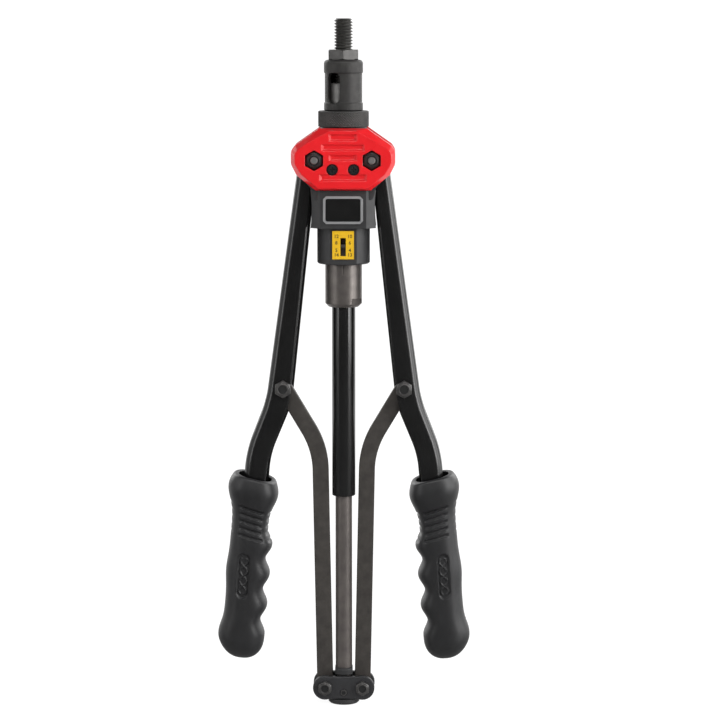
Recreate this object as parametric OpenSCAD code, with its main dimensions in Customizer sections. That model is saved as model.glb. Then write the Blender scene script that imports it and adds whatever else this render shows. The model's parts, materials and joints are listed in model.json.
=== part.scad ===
// Two-handed rivet nut tool, stood upright with its nose to the top and its front to -Y.
// The origin is the centre of the anvil face, where the flange of a rivet nut seats.
// Sizes are in millimetres.

/* [Nose] */
// Diameter of the threaded mandrel
mandrel_d = 12; // [8:0.5:12]
// Length of mandrel that stands out of the anvil
mandrel_out = 20; // [12:1:30]
// Width across the flats of the anvil
anvil_af = 19; // [17:0.5:21]
// Height of the anvil's hexagon
anvil_h = 6.5; // [5:0.5:9]
// Diameter of the nose sleeve between its bands
nose_d = 24.2; // [23.6:0.2:26]
// How far the two bands of the nose sleeve stand proud
nose_band = 0.5; // [0.2:0.1:1]
// Height of the upper band
nose_band_top_h = 8.6; // [6:0.2:10]
// Height of the lower band
nose_band_bottom_h = 5.4; // [4:0.2:8]
// Length of the nose sleeve above the lock ring
nose_len = 32.7; // [30:0.5:40]
// Width of the sight window in the nose sleeve
window_w = 9; // [6:0.5:11]
// Height of the sight window
window_h = 20.6; // [14:0.5:22]
// Turn of the sight window to the left of the front, in degrees
window_turn = 32; // [0:1:90]
// Diameter of the lock ring
ring_d = 33.2; // [30:0.2:38]
// Height of the lock ring
ring_h = 10.5; // [7:0.5:14]

/* [Head] */
// Height of the red covers
cover_h = 40; // [38:0.5:44]
// Width of the covers across the shoulders
cover_w = 67.2; // [65:0.2:74]
// Width of the covers' top edge
cover_top_w = 31; // [28:0.5:36]
// Width of the covers' bottom edge
cover_bottom_w = 35.4; // [32:0.2:40]
// Depth of each cover from its rim to its front face
cover_d = 11; // [9:0.5:14]
// Width of the sloping edge round a cover's front face
cover_bevel = 3.2; // [2:0.2:4]
// Depth of the ribs' troughs in a cover
trough_d = 1.3; // [0.6:0.1:2]
// Distance of each arm pivot from the axis
pivot_x = 18.5; // [18:0.1:20]
// Depth of the arm pivots below the covers' top edge
pivot_drop = 20.5; // [19:0.5:22]
// Diameter of the pivot bolts
pivot_d = 6; // [5:0.5:6.5]
// Thickness of each cheek beside the arms
cheek_t = 5.7; // [4:0.1:6.5]
// Width of the body under the covers
body_w = 42.4; // [41:0.2:46]
// Front to back depth of the body under the covers
body_d = 35; // [34:0.5:40]
// Height of the body under the covers
body_h = 24.6; // [22:0.2:30]
// How far the sides of the body pinch in at the waist
waist = 0.8; // [0.4:0.1:1.4]
// Size of the chamfers on the body's upright corners
body_chamfer = 6.2; // [4:0.2:7]
// Width of the label frame
label_w = 25.8; // [20:0.2:28]
// Height of the label frame
label_h = 17.9; // [12:0.1:19]

/* [Stroke gauge] */
// Diameter of the gauge housing
gauge_d = 34.4; // [33:0.2:38]
// Height of the gauge housing
gauge_h = 23.7; // [22:0.1:28]
// Distance of the housing's front flat from the axis
gauge_flat = 14.8; // [14.2:0.1:15.6]
// Width of the yellow scale
scale_w = 14; // [10:0.2:15]
// Height of the yellow scale
scale_h = 18.3; // [15:0.1:19]
// Width of the slot in the scale
slot_w = 3.5; // [2.5:0.1:5]
// Height of the slot in the scale
slot_h = 11.7; // [10:0.1:13]
// Diameter of the adjusting sleeve
sleeve_d = 24; // [23.6:0.2:28]
// Height of the adjusting sleeve
sleeve_h = 28.4; // [26:0.2:36]

/* [Tube and rod] */
// Diameter of the guide tube
tube_d = 15.4; // [15:0.1:16.4]
// Length of the guide tube below the adjusting sleeve
tube_out = 125.4; // [90:1:130]
// Wall of the guide tube
tube_wall = 1; // [0.6:0.1:1.1]
// Diameter of the push rod
rod_d = 11; // [9:0.1:11.2]

/* [Arms and links] */
// Width of an arm at its grip, seen from the front
arm_w = 14.4; // [13:0.1:14.8]
// Width of an arm at its pivot
arm_top_w = 12.4; // [11:0.1:14]
// Width of an arm at its jog
arm_mid_w = 16; // [14:0.1:17]
// Front to back depth of an arm
arm_d = 20; // [18:0.2:21]
// Thickness of an arm's folded steel
arm_wall = 2.5; // [1.5:0.1:3]
// Distance from an arm pivot down to its link bolt
arm_drop = 149.5; // [140:0.5:155]
// Distance of each link bolt from the axis
link_bolt_x = 39.6; // [38:0.2:44]
// Lean of the upper stretch of an arm, in degrees
arm_lean = 6.2; // [5:0.1:7]
// Lean of the outward jog below the link bolt, in degrees
jog_lean = 22.7; // [18:0.1:26]
// Length of the outward jog
jog_len = 37; // [30:0.5:42]
// Radius of the bend into the jog
jog_bend_r = 60; // [50:1:70]
// Radius of the bend back to the grip
heel_bend_r = 66; // [60:1:80]
// Lean of the grips, in degrees
grip_lean = 5.1; // [4:0.1:7]
// Diameter of the link bolts
link_bolt_d = 6; // [5:0.5:6.5]
// Width of a link bar
link_w = 10.6; // [9:0.1:10.8]
// Thickness of a link bar
link_t = 6; // [4:0.1:7]
// Length of a link's upper stretch, from its bolt to its bend
link_upper = 47; // [40:0.5:48]
// Lean of a link's upper stretch, in degrees
link_lean = 30.8; // [29:0.1:31.2]
// Radius of a link's bend
link_bend_r = 55; // [30:1:80]

/* [Yoke] */
// Distance from the arm pivots down to the yoke bolts
yoke_drop = 350; // [330:1:380]
// Distance of each yoke bolt from the axis
yoke_bolt_x = 12.4; // [12.2:0.1:13.5]
// Diameter of the yoke bolts
yoke_bolt_d = 5; // [4:0.5:5]
// Radius of the yoke plates' round lobes
yoke_lobe_r = 8; // [7:0.1:9.5]
// Thickness of a yoke plate
yoke_plate_t = 3; // [2:0.1:5]
// Diameter of the hub under the yoke
hub_d = 20.5; // [16:0.5:26]
// Height of the hub that shows below the plates
hub_out = 3.4; // [2:0.1:8]

/* [Grips] */
// Length of a grip
grip_len = 126; // [115:1:140]
// Half width of a grip's palm side
grip_palm = 14.4; // [12.8:0.1:17]
// Half width of a grip's finger side in the valleys
grip_finger = 9.9; // [9.4:0.1:12]
// Height of the finger ridges
grip_ridge = 3.7; // [0:0.1:5]
// Spacing of the finger ridges
ridge_pitch = 21.7; // [16:0.1:26]
// Half depth of a grip from front to back
grip_depth = 15.5; // [14:0.1:19]
// How far the collar at a grip's mouth flares
grip_flare = 4.2; // [1:0.1:6]

/* [Fits] */
// Radial clearance of a pin or a shaft that turns in its hole
run_fit = 0.05; // [0.02:0.01:0.1]
// Gap between pieces that slide past each other
slide_gap = 0.35; // [0.2:0.05:0.5]
// Gap between faces that rest on each other
face_gap = 0.05; // [0:0.01:0.1]
// Sideways room for the rod, because the links swing it a little off the axis
rod_room = 0.9; // [0.8:0.1:1.1]

/* [Hidden] */

$fn = 64;
eps = 0.01;
big = 400;

// Heights of the pieces stacked along the axis, from the anvil face down
z_nose_top = -anvil_h;
z_ring_top = z_nose_top - nose_len;
z_head = z_ring_top - ring_h;
z_cover_top = z_head - 0.3;
z_cover_bottom = z_cover_top - cover_h;
z_body_bottom = z_cover_bottom - body_h;
z_gauge_bottom = z_body_bottom - gauge_h;
z_sleeve_bottom = z_gauge_bottom - sleeve_h;
z_tube_end = z_sleeve_bottom - tube_out;
z_pivot = z_cover_top - pivot_drop;
z_link_bolt = z_pivot - arm_drop;
z_yoke = z_pivot - yoke_drop;

// Nose and spindle
mandrel_relief = 0.5;
mandrel_neck = 0.6;
anvil_shank_r = mandrel_d / 2 + 2;
anvil_shank_h = 4.5;
nose_bore_r = nose_d / 2 - 2.9;
nose_spigot_r = nose_bore_r + 1.7;
nose_spigot_h = 5.3;
stroke = 6;
chuck_r = nose_bore_r - slide_gap;
chuck_h = 16;
chuck_grip = 4;
chuck_room = 4.4;
z_chuck_top = z_nose_top - anvil_shank_h - stroke - chuck_grip - chuck_room;
z_chuck_bottom = z_chuck_top - chuck_h;
spiral_r = 3;
shaft_bore_r = spiral_r + rod_room;
shaft_r = shaft_bore_r + 1.7;
z_shaft_bore = z_chuck_bottom - 20;
window_z = z_nose_top - nose_band_top_h - window_h / 2 + 1;

// Inside of the head and of the stroke gauge
core_x = pivot_x - 10.1;
head_boss_r = 15;
head_boss_h = 6.3;
slot_half = arm_d / 2 + slide_gap;
cheek_face = slot_half + cheek_t;
cover_rim = slot_half + 0.65;
cover_face = cover_rim + cover_d;
cover_skin = 2.4;
arm_boss_r = 9.6;
spigot_r = 11.1;
spigot_wall = 1.2;
cavity_r = spigot_r + 0.1;
cavity_h = 20;
z_cavity_top = z_gauge_bottom + cavity_h;
scale_t = 0.8;
scale_z = z_body_bottom - gauge_h / 2 + 1.1;
slot_z = scale_z - 1.3;
pointer_h = 2;
pointer_z = slot_z + 0.6;
nut_r = spigot_r - spigot_wall - 0.7;
nut_h = 13;
ring_t = 1.8;
z_nut_top = z_gauge_bottom - 0.6;
z_nut_bottom = z_nut_top - nut_h;
sleeve_floor = 8.6;
sleeve_chamfer = 2.2;
tube_bore_r = tube_d / 2 - tube_wall;

// Fasteners: width across flats, height and head of each kind
pivot_nut_af = 10;
pivot_nut_h = 6;
link_nut_af = 10;
link_nut_h = 4.4;
yoke_nut_af = 8.6;
yoke_nut_h = 3.6;
screw_x = 6.9;
screw_drop = 26.4;
screw_head_d = 7;
screw_head_h = 2.2;
screw_d = 4;
screw_len = 9;

// Arm line, for the side towards +X: pivot end, jog corners and lower end
function lean_down(a) = [sin(a), -cos(a)];
arm_mid_x = link_bolt_x + arm_w / 2 - 5.7;
arm_mid = [arm_mid_x, z_link_bolt];
arm_top = arm_mid - lean_down(arm_lean) * (arm_drop / cos(arm_lean));
arm_jog = arm_mid + lean_down(arm_lean) * 10;
arm_heel = arm_jog + lean_down(jog_lean) * jog_len;
heel_len = 19.4;
grip_top = arm_heel + lean_down(grip_lean) * heel_len;
grip_fill = 70;
arm_end = grip_top + lean_down(grip_lean) * grip_fill;
arm_path = [arm_top, arm_jog, arm_heel, arm_end];
arm_bends = [0, jog_bend_r, heel_bend_r, 0];
arm_inner = [arm_w / 2, arm_w / 2, arm_w / 2, arm_w / 2];
heel_swell = 0.6;
arm_outer = [arm_top_w - arm_w / 2, arm_mid_w - arm_w / 2, arm_w / 2 + heel_swell, arm_w / 2];
arm_top_r = arm_top_w / 2 + 0.4;

// Link line, for the side towards +X
link_top = [link_bolt_x, z_link_bolt];
link_knee = link_top + [-sin(link_lean), -cos(link_lean)] * link_upper;
link_foot = [yoke_bolt_x, z_yoke];
link_path = [link_top, link_knee, link_foot];
link_bends = [0, link_bend_r, 0];
link_eye_r = link_w / 2 + 0.6;

// Yoke and rod
open_pivot_room = 1.35;
rod_spigot_r = yoke_bolt_x - link_eye_r - 2;
yoke_gap = link_t / 2 + 3.2;
hub_plate_gap = 0.5;
z_hub_bottom = z_yoke - yoke_lobe_r - hub_out;
z_hub_top = z_yoke - link_eye_r - 0.8;
collar_h = 4.6;
z_collar_bottom = z_yoke + yoke_lobe_r + face_gap;
z_rod_step = z_sleeve_bottom - 48;
z_rod_top = z_nut_bottom + 4;
yoke_pin_d = 4;
yoke_pin_drop = 3.2;
yoke_waist = 0.5;

// Bumps along a grip, each as its distance from the lip, its width and its height
grip_lip = 6;
grip_dome = 12;
palm_collar = [8, 11, grip_flare];
palm_swell = [65, 10, 1.2];
palm_heel = [109, 9, 2.8];
lip_draw = [-6, 7, 2];
finger_collar = [11, 9, grip_flare + 0.6];
side_collar = [9, 10, 0.6 * grip_flare];
first_ridge = 46;
ridge_lead = [first_ridge, 9, grip_ridge];

// Cover outline and its front face, as right-hand corners with their rounding radii
shoulder_z = z_cover_top - 11;
flank_top_z = z_cover_top - 14.6;
flank_bottom_z = z_cover_top - 23;
hip_z = z_cover_top - 30.2;
cover_corners = [[cover_top_w / 2, z_cover_top, 0.8], [cover_w / 2 - 2.4, shoulder_z, 4],
                 [cover_w / 2, flank_top_z, 5], [cover_w / 2, flank_bottom_z, 6],
                 [cover_w / 2 - 3.6, hip_z, 5], [cover_bottom_w / 2, z_cover_bottom, 1.5]];
face_corners = [[8.4, z_cover_top - 1.4, 1], [cover_w / 2 - 9.6, shoulder_z + 1, 4],
                [cover_w / 2 - cover_bevel + 0.6, flank_top_z - 0.6, 5],
                [cover_w / 2 - cover_bevel + 0.6, flank_bottom_z + 0.6, 5],
                [cover_w / 2 - 3.6 - cover_bevel, hip_z + 0.8, 5],
                [cover_bottom_w / 2 - 2, z_cover_bottom + cover_bevel / 2, 2]];

// Troughs in a cover: half width, drop of the middle below the top edge, height
troughs = [[9, 5.8, 4.4], [13.8, 12.2, 4.2], [8.8, 18.7, 3.8], [15.2, 31.4, 4.4]];

// Unit vector from one point to the next
function way(a, b) = (b - a) / norm(b - a);
// The vector turned a quarter turn to the left
function left_of(v) = [-v[1], v[0]];
// Angle between two unit vectors, positive to the left
function turn(u, v) = asin(u[0] * v[1] - u[1] * v[0]);
// Length of straight line that a bend takes at its corner
function bend_take(p, r, i) = i == 0 || i == len(p) - 1 ? 0 :
    r[i] * tan(abs(turn(way(p[i - 1], p[i]), way(p[i], p[i + 1]))) / 2);
// Corners of a mirrored outline: the right-hand corners, then their images in reverse order
function both_sides(c) = concat(c, [for (i = [len(c) - 1 : -1 : 0]) [-c[i][0], c[i][1], c[i][2]]]);

// A straight-sided outline, listed clockwise, with each outer corner rounded to its own radius
module rounded(c) {
    n = len(c);
    pts = [for (q = c) [q[0], q[1]]];
    u = [for (i = [0 : n - 1]) way(pts[(i + n - 1) % n], pts[i])];
    v = [for (i = [0 : n - 1]) way(pts[i], pts[(i + 1) % n])];
    take = [for (i = [0 : n - 1]) c[i][2] * tan(abs(turn(u[i], v[i])) / 2)];
    polygon([for (i = [0 : n - 1]) each [pts[i] - u[i] * take[i], pts[i] + v[i] * take[i]]]);
    for (i = [0 : n - 1])
        if (turn(u[i], v[i]) < 0)
            translate(pts[i] - u[i] * take[i] - left_of(u[i]) * c[i][2])
                circle(r = c[i][2]);
}

// Where a bent line's straight stretch leaves one bend and enters the next
function leave(p, r, i) = p[i] + way(p[i], p[i + 1]) * bend_take(p, r, i);
function enter(p, r, i) = p[i] - way(p[i - 1], p[i]) * bend_take(p, r, i);
// Ends of all its straight stretches
function straights(p, r) = [for (i = [0 : len(p) - 2]) each [leave(p, r, i), enter(p, r, i + 1)]];
// The same points from last to first
function backwards(q) = [for (i = [len(q) - 1 : -1 : 0]) q[i]];
// Which way a line bends at a corner: 1 to the left, -1 to the right, 0 at its ends
function bend_side(p, i) = i == 0 || i == len(p) - 1 ? 0 : sign(turn(way(p[i - 1], p[i]), way(p[i], p[i + 1])));
// The way to the left at a corner, as long as a line at distance 1 needs
function miter(p, i) =
    let (n = left_of(way(p[max(i, 1) - 1], p[max(i, 1)])),
         m = left_of(way(p[min(i, len(p) - 2)], p[min(i, len(p) - 2) + 1])))
        (n + m) / (1 + n * m);
// An edge beside a bent line, given its distance to the left at each corner, and the radii of its bends
function edge(p, off) = [for (i = [0 : len(p) - 1]) p[i] + miter(p, i) * off[i]];
function edge_bends(p, r, off) = [for (i = [0 : len(p) - 1]) r[i] - bend_side(p, i) * off[i]];

// The part of a bend's disc that lies between its ends, from a share of its radius outwards
module bend_sector(p, r, i, low) {
    c = enter(p, r, i) + left_of(way(p[i - 1], p[i])) * bend_side(p, i) * r[i];
    s = enter(p, r, i) - c;
    e = leave(p, r, i) - c;
    intersection() {
        translate(c) circle(r = r[i], $fn = 128);
        polygon([c + s * low, c + s * 1.1, c + e * 1.1, c + e * low]);
    }
}

// A bar bent along a line, between its right and left edges, with true arcs at the bends
module strip(p, r, right, left) {
    a = edge(p, right);
    b = edge(p, left);
    ra = edge_bends(p, r, right);
    rb = edge_bends(p, r, left);
    corners = [1 : len(p) - 2];
    difference() {
        union() {
            polygon(concat(straights(a, ra), backwards(straights(b, rb))));
            for (i = corners)
                if (bend_side(p, i) > 0) bend_sector(a, ra, i, 0.9);
                else bend_sector(b, rb, i, 0.9);
        }
        for (i = corners)
            if (bend_side(p, i) > 0) bend_sector(b, rb, i, 0.8);
            else bend_sector(a, ra, i, 0.8);
    }
}

// Extrude an outline drawn in X and Z from one Y to another
module along_y(y0, y1) {
    translate([0, y1, 0]) rotate([90, 0, 0]) linear_extrude(y1 - y0) children();
}

// A round bar along Y, centred on a point of the X and Z plane
module bar_y(p, y0, y1, r) {
    translate([p[0], y0, p[1]]) rotate([-90, 0, 0]) cylinder(r = r, h = y1 - y0);
}

// A hexagonal bar along Y with two corners up and down
module hex_y(p, y0, y1, af) {
    translate([p[0], y0, p[1]]) rotate([-90, 0, 0]) rotate([0, 0, 30])
        cylinder(d = af / cos(30), h = y1 - y0, $fn = 6);
}

// A round bar along the axis between two heights
module bar_z(z0, z1, r) {
    translate([0, 0, z0]) cylinder(r = r, h = z1 - z0);
}

// A round bar along the axis with a chamfer at its ends
module bar_z_chamfered(z0, z1, r, low, high) {
    rotate_extrude()
        polygon([[0, z0], [r - low, z0], [r, z0 + low], [r, z1 - high], [r - high, z1], [0, z1]]);
}

// The same piece on the left and on the right
module pair() {
    children();
    mirror([1, 0, 0]) children();
}

// The same piece at the front and at the rear
module front_and_rear() {
    children();
    mirror([0, 1, 0]) children();
}

module mandrel() {
    color("dimgray") {
        bar_z(z_chuck_top, mandrel_neck + eps, mandrel_d / 2 - mandrel_relief);
        bar_z_chamfered(mandrel_neck, mandrel_out, mandrel_d / 2, 0, 1.2);
    }
}

module anvil() {
    top_r = anvil_af / 2;
    corner_r = anvil_af / 2 / cos(30) + eps;
    rim = corner_r - top_r;
    color("dimgray") difference() {
        union() {
            intersection() {
                translate([0, 0, z_nose_top]) rotate([0, 0, 30]) cylinder(r = corner_r, h = anvil_h, $fn = 6);
                rotate_extrude()
                    polygon([[0, z_nose_top], [top_r, z_nose_top], [corner_r, z_nose_top + rim / 2],
                             [corner_r, -rim / 2], [top_r, 0], [0, 0]]);
            }
            bar_z(z_nose_top - anvil_shank_h, z_nose_top + eps, anvil_shank_r);
        }
        bar_z(z_nose_top - anvil_shank_h - eps, eps, mandrel_d / 2 + slide_gap);
    }
}

module nose_sleeve() {
    r = nose_d / 2;
    band_r = r + nose_band;
    z_low_band = z_ring_top + nose_band_bottom_h;
    z_high_band = z_nose_top - nose_band_top_h;
    z_seat = z_nose_top - anvil_shank_h;
    z_foot = z_head - nose_spigot_h;
    lip_r = anvil_shank_r + face_gap;
    straight = window_h - window_w;
    color("dimgray") difference() {
        rotate_extrude()
            polygon([[nose_bore_r, z_foot], [nose_spigot_r, z_foot], [nose_spigot_r, z_ring_top],
                     [band_r - 0.6, z_ring_top], [band_r, z_ring_top + 0.6],
                     [band_r, z_low_band - nose_band], [r, z_low_band], [r, z_high_band],
                     [band_r, z_high_band + nose_band], [band_r, z_nose_top - 1.9],
                     [band_r - 1.9, z_nose_top], [lip_r, z_nose_top], [lip_r, z_seat], [nose_bore_r, z_seat]]);
        rotate([0, 0, -window_turn]) along_y(-nose_d, 0) {
            for (s = [-1, 1]) translate([0, window_z + s * straight / 2]) circle(d = window_w);
            translate([-window_w / 2, window_z - straight / 2]) square([window_w, straight]);
        }
    }
}

module lock_ring() {
    r = ring_d / 2;
    color("dimgray") difference() {
        bar_z_chamfered(z_head + face_gap, z_ring_top - face_gap, r, 0.9, 0.9);
        bar_z(z_head - eps, z_ring_top + eps, nose_spigot_r + run_fit);
    }
}

module drive_chuck() {
    color("darkgray") difference() {
        bar_z_chamfered(z_chuck_bottom, z_chuck_top + chuck_grip, chuck_r, 0.8, 0.8);
        bar_z(z_chuck_top, z_chuck_top + chuck_grip + eps, mandrel_d / 2 + face_gap);
        bar_z(z_chuck_bottom - eps, z_chuck_bottom + 6, shaft_r + face_gap);
    }
}

module draw_shaft() {
    color("gray") difference() {
        bar_z(z_nut_bottom + 2, z_chuck_bottom + 6 - face_gap, shaft_r);
        bar_z(z_nut_bottom - eps, z_shaft_bore, shaft_bore_r);
    }
}

module spiral_nut() {
    color("goldenrod") difference() {
        bar_z_chamfered(z_nut_bottom, z_nut_top, nut_r, 0.6, 0);
        bar_z(z_nut_bottom + 2 - face_gap, z_nut_top + eps, shaft_r + face_gap);
        bar_z(z_nut_bottom - eps, z_nut_top, shaft_bore_r);
    }
}

module thrust_ring() {
    color("silver") difference() {
        bar_z_chamfered(z_nut_top + face_gap, z_nut_top + face_gap + ring_t, nut_r, 0.3, 0.3);
        bar_z(z_nut_top, z_nut_top + ring_t + 1, shaft_r + run_fit);
    }
}

// Return spring: a wire swept round a helix, flattened against its two seats
module return_spring() {
    wire_r = 0.75;
    coil_r = (shaft_r + spigot_r - spigot_wall) / 2;
    turns = 6;
    steps = 14;
    sides = 6;
    low = z_nut_top + face_gap + ring_t + wire_r + face_gap;
    high = z_cavity_top - wire_r - face_gap;
    count = turns * steps;
    pts = [for (i = [0 : count], j = [0 : sides - 1])
        let (a = 360 * i / steps, b = 360 * j / sides, r = coil_r + wire_r * cos(b))
            [r * cos(a), r * sin(a), low + (high - low) * i / count + wire_r * sin(b)]];
    skin = [for (i = [0 : count - 1], j = [0 : sides - 1])
        let (k = (j + 1) % sides)
            [i * sides + j, i * sides + k, (i + 1) * sides + k, (i + 1) * sides + j]];
    first = [for (j = [sides - 1 : -1 : 0]) j];
    last = [for (j = [0 : sides - 1]) count * sides + j];
    color("silver") polyhedron(points = pts, faces = concat(skin, [first, last]));
}

module cover_outline() {
    rounded(both_sides(cover_corners));
}

// Outline of a cheek: inside the cover, running down into the body
module cheek_outline() {
    w = cover_w / 2 - cover_skin;
    rounded(both_sides([[cover_top_w / 2 - 0.8, z_cover_top - cover_skin, 1],
                        [w - 2.4, shoulder_z - 0.6, 4], [w, flank_top_z, 5], [w, flank_bottom_z, 6],
                        [w - 3.2, hip_z, 4], [body_w / 2, z_cover_bottom + 1.6, 2],
                        [body_w / 2 - 2, z_cover_bottom - 6, 2]]));
}

// Body block with pinched sides and chamfered upright corners
module body_block() {
    w = body_w / 2;
    d = body_d / 2;
    c = body_chamfer;
    r = (pow(body_h / 2, 2) + pow(waist, 2)) / (2 * waist);
    difference() {
        translate([0, 0, z_body_bottom]) linear_extrude(body_h)
            polygon([[-w, -d + c], [-w + c, -d], [w - c, -d], [w, -d + c],
                     [w, d - c], [w - c, d], [-w + c, d], [-w, d - c]]);
        pair() bar_y([w - waist + r, z_body_bottom + body_h / 2], -d - 1, d + 1, r);
    }
}

module head_body() {
    w = body_w / 2;
    facet = (gauge_flat + sqrt(pow(gauge_d / 2, 2) - pow(gauge_flat, 2))) / sqrt(2);
    inner_x = w - 2.2;
    color([0.16, 0.16, 0.17]) difference() {
        union() {
            along_y(-cheek_face, cheek_face) cheek_outline();
            body_block();
            bar_z(z_head - head_boss_h, z_head, head_boss_r);
            intersection() {
                bar_z_chamfered(z_gauge_bottom, z_body_bottom + eps, gauge_d / 2, 0.8, 0);
                translate([-gauge_d, -gauge_flat, z_gauge_bottom - 1])
                    cube([2 * gauge_d, gauge_flat + gauge_d, gauge_h + 2]);
                for (a = [-45, 45])
                    rotate([0, 0, a]) translate([-gauge_d, -facet, z_gauge_bottom - 1])
                        cube([2 * gauge_d, facet + gauge_d, gauge_h + 2]);
            }
        }
        pair() along_y(-slot_half, slot_half)
            polygon([[core_x, z_head - head_boss_h], [big, z_head - head_boss_h], [big, z_body_bottom - 1],
                     [inner_x, z_body_bottom - 1], [inner_x - 1.6, z_cover_bottom - 2],
                     [core_x, z_pivot - arm_boss_r - 3]]);
        bar_z(z_head - nose_spigot_h, z_head + eps, nose_spigot_r + face_gap);
        bar_z(z_cavity_top - eps, z_head + eps, shaft_r + slide_gap);
        bar_z(z_gauge_bottom - eps, z_cavity_top, cavity_r);
        along_y(-gauge_d, 0) translate([-slot_w / 2, slot_z - slot_h / 2]) square([slot_w, slot_h]);
        pair() bar_y([pivot_x, z_pivot], -big, big, pivot_d / 2 + face_gap);
        pair() front_and_rear()
            bar_y([screw_x, z_cover_top - screw_drop], -big, -cheek_face + screw_len, screw_d / 2);
    }
}

// One trough of a cover, with sloping walls, sunk from the front face
module trough(q) {
    z = z_cover_top - q[1];
    hull() {
        along_y(-cover_face - 1, -cover_face) translate([-q[0], z - q[2] / 2]) square([2 * q[0], q[2]]);
        along_y(-cover_face, -cover_face + trough_d)
            translate([-q[0] + trough_d, z - q[2] / 2 + trough_d * 0.6])
                square([2 * (q[0] - trough_d), q[2] - trough_d * 1.2]);
    }
}

// A cover: a shell with a sloping edge, ribbed face, nut recesses and screw holes
module cover() {
    color([0.85, 0.05, 0.08]) difference() {
        hull() {
            along_y(-cover_rim - cover_d * 0.5, -cover_rim) cover_outline($fn = 32);
            along_y(-cover_face, -cover_face + 0.2) rounded(both_sides(face_corners), $fn = 32);
        }
        along_y(-cheek_face - face_gap, 0) cheek_outline();
        along_y(-cheek_face - face_gap, 0) translate([-head_boss_r, z_head - 4]) square([2 * head_boss_r, 8]);
        for (q = troughs) trough(q);
        pair() {
            hex_y([pivot_x, z_pivot], -cover_face - 1, 0, pivot_nut_af + 1.6);
            bar_y([screw_x, z_cover_top - screw_drop], -big, 0, screw_d / 2 + 0.2);
            bar_y([screw_x, z_cover_top - screw_drop], -big, -cover_face + screw_head_h + 0.4,
                  screw_head_d / 2 + 0.3);
        }
    }
}

module front_cover() {
    cover();
}

module rear_cover() {
    mirror([0, 1, 0]) cover();
}

// Countersunk-look pan screws that hold a cover to its cheek
module cover_screws() {
    p = [screw_x, z_cover_top - screw_drop];
    seat = -cover_face + screw_head_h + 0.4;
    color([0.1, 0.1, 0.1]) pair() difference() {
        union() {
            bar_y(p, seat - screw_head_h, seat, screw_head_d / 2);
            bar_y(p, seat - eps, -cheek_face + screw_len - 1, screw_d / 2 - face_gap);
        }
        for (a = [0, 90])
            translate([p[0], seat - screw_head_h, p[1]]) rotate([0, a, 0])
                cube([4, 2.4, 0.9], center = true);
    }
}

module front_screws() {
    cover_screws();
}

module rear_screws() {
    mirror([0, 1, 0]) cover_screws();
}

module pivot_bolts() {
    p = [pivot_x, z_pivot];
    color([0.25, 0.25, 0.26]) pair() {
        bar_y(p, -cheek_face - pivot_nut_h - 1.2, cheek_face + eps, pivot_d / 2);
        hex_y(p, cheek_face, cheek_face + 4, pivot_nut_af);
    }
}

// A nut on a bolt along -Y: a hexagon with a round locking collar on its outer end
module lock_nut(p, seat, af, h, d) {
    difference() {
        union() {
            hex_y(p, seat - h * 0.68, seat, af);
            bar_y(p, seat - h, seat - h * 0.68 + eps, af * 0.44);
        }
        bar_y(p, seat - h - 1, seat + 1, d / 2 + face_gap);
    }
}

module pivot_nuts() {
    color([0.2, 0.2, 0.21]) pair()
        lock_nut([pivot_x, z_pivot], -cheek_face, pivot_nut_af, pivot_nut_h, pivot_d);
}

// Bare label plate with a raised frame
module label_plate() {
    z = z_cover_bottom - 3.6 - label_h / 2;
    y = -body_d / 2;
    frame = 1.6;
    color([0.5, 0.5, 0.5]) difference() {
        along_y(y - 0.9, y) rounded([[-label_w / 2, z - label_h / 2, 2], [label_w / 2, z - label_h / 2, 2],
                                     [label_w / 2, z + label_h / 2, 2], [-label_w / 2, z + label_h / 2, 2]]);
        along_y(y - 1, y - 0.45)
            translate([-label_w / 2 + frame, z - label_h / 2 + frame])
                square([label_w - 2 * frame, label_h - 2 * frame]);
    }
}

module gauge_scale() {
    color("gold") difference() {
        along_y(-gauge_flat - scale_t, -gauge_flat)
            translate([-scale_w / 2, scale_z - scale_h / 2]) square([scale_w, scale_h]);
        along_y(-gauge_flat - scale_t - 1, 0)
            translate([-slot_w / 2, slot_z - slot_h / 2]) square([slot_w, slot_h]);
    }
}

// Pointer ring that rides on the adjusting sleeve, with a tongue in the gauge slot
module gauge_pointer() {
    color("whitesmoke") difference() {
        union() {
            bar_z(pointer_z - pointer_h / 2, pointer_z + pointer_h / 2, spigot_r);
            translate([-slot_w / 2 + 0.3, -gauge_flat - 0.2, pointer_z - pointer_h / 2])
                cube([slot_w - 0.6, gauge_flat, pointer_h]);
        }
        bar_z(pointer_z - pointer_h, pointer_z + pointer_h, spigot_r - spigot_wall);
    }
}

module adjusting_sleeve() {
    r = sleeve_d / 2;
    z_floor = z_sleeve_bottom + sleeve_floor;
    spigot_top = pointer_z - pointer_h / 2 - face_gap;
    color([0.36, 0.33, 0.31]) difference() {
        union() {
            bar_z_chamfered(z_sleeve_bottom, z_gauge_bottom - face_gap, r, sleeve_chamfer, 0.5);
            bar_z(z_gauge_bottom - 1, spigot_top, spigot_r);
        }
        bar_z(z_floor, spigot_top + 1, spigot_r - spigot_wall);
        bar_z(z_sleeve_bottom - 1, z_floor + 1, tube_d / 2 + face_gap);
        translate([-0.5, -r - 1, z_gauge_bottom - 7]) cube([1, 1.5, 8]);
        front_and_rear() rotate([0, 0, 52])
            translate([-r, -r - 3.9, z_sleeve_bottom - 1]) cube([2 * r, 5, 6.6]);
    }
}

module guide_tube() {
    color([0.05, 0.05, 0.05]) difference() {
        bar_z_chamfered(z_tube_end, z_sleeve_bottom + sleeve_floor, tube_d / 2, 0.5, 0);
        bar_z(z_tube_end - 1, z_sleeve_bottom + sleeve_floor + 1, tube_bore_r);
    }
}

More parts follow.
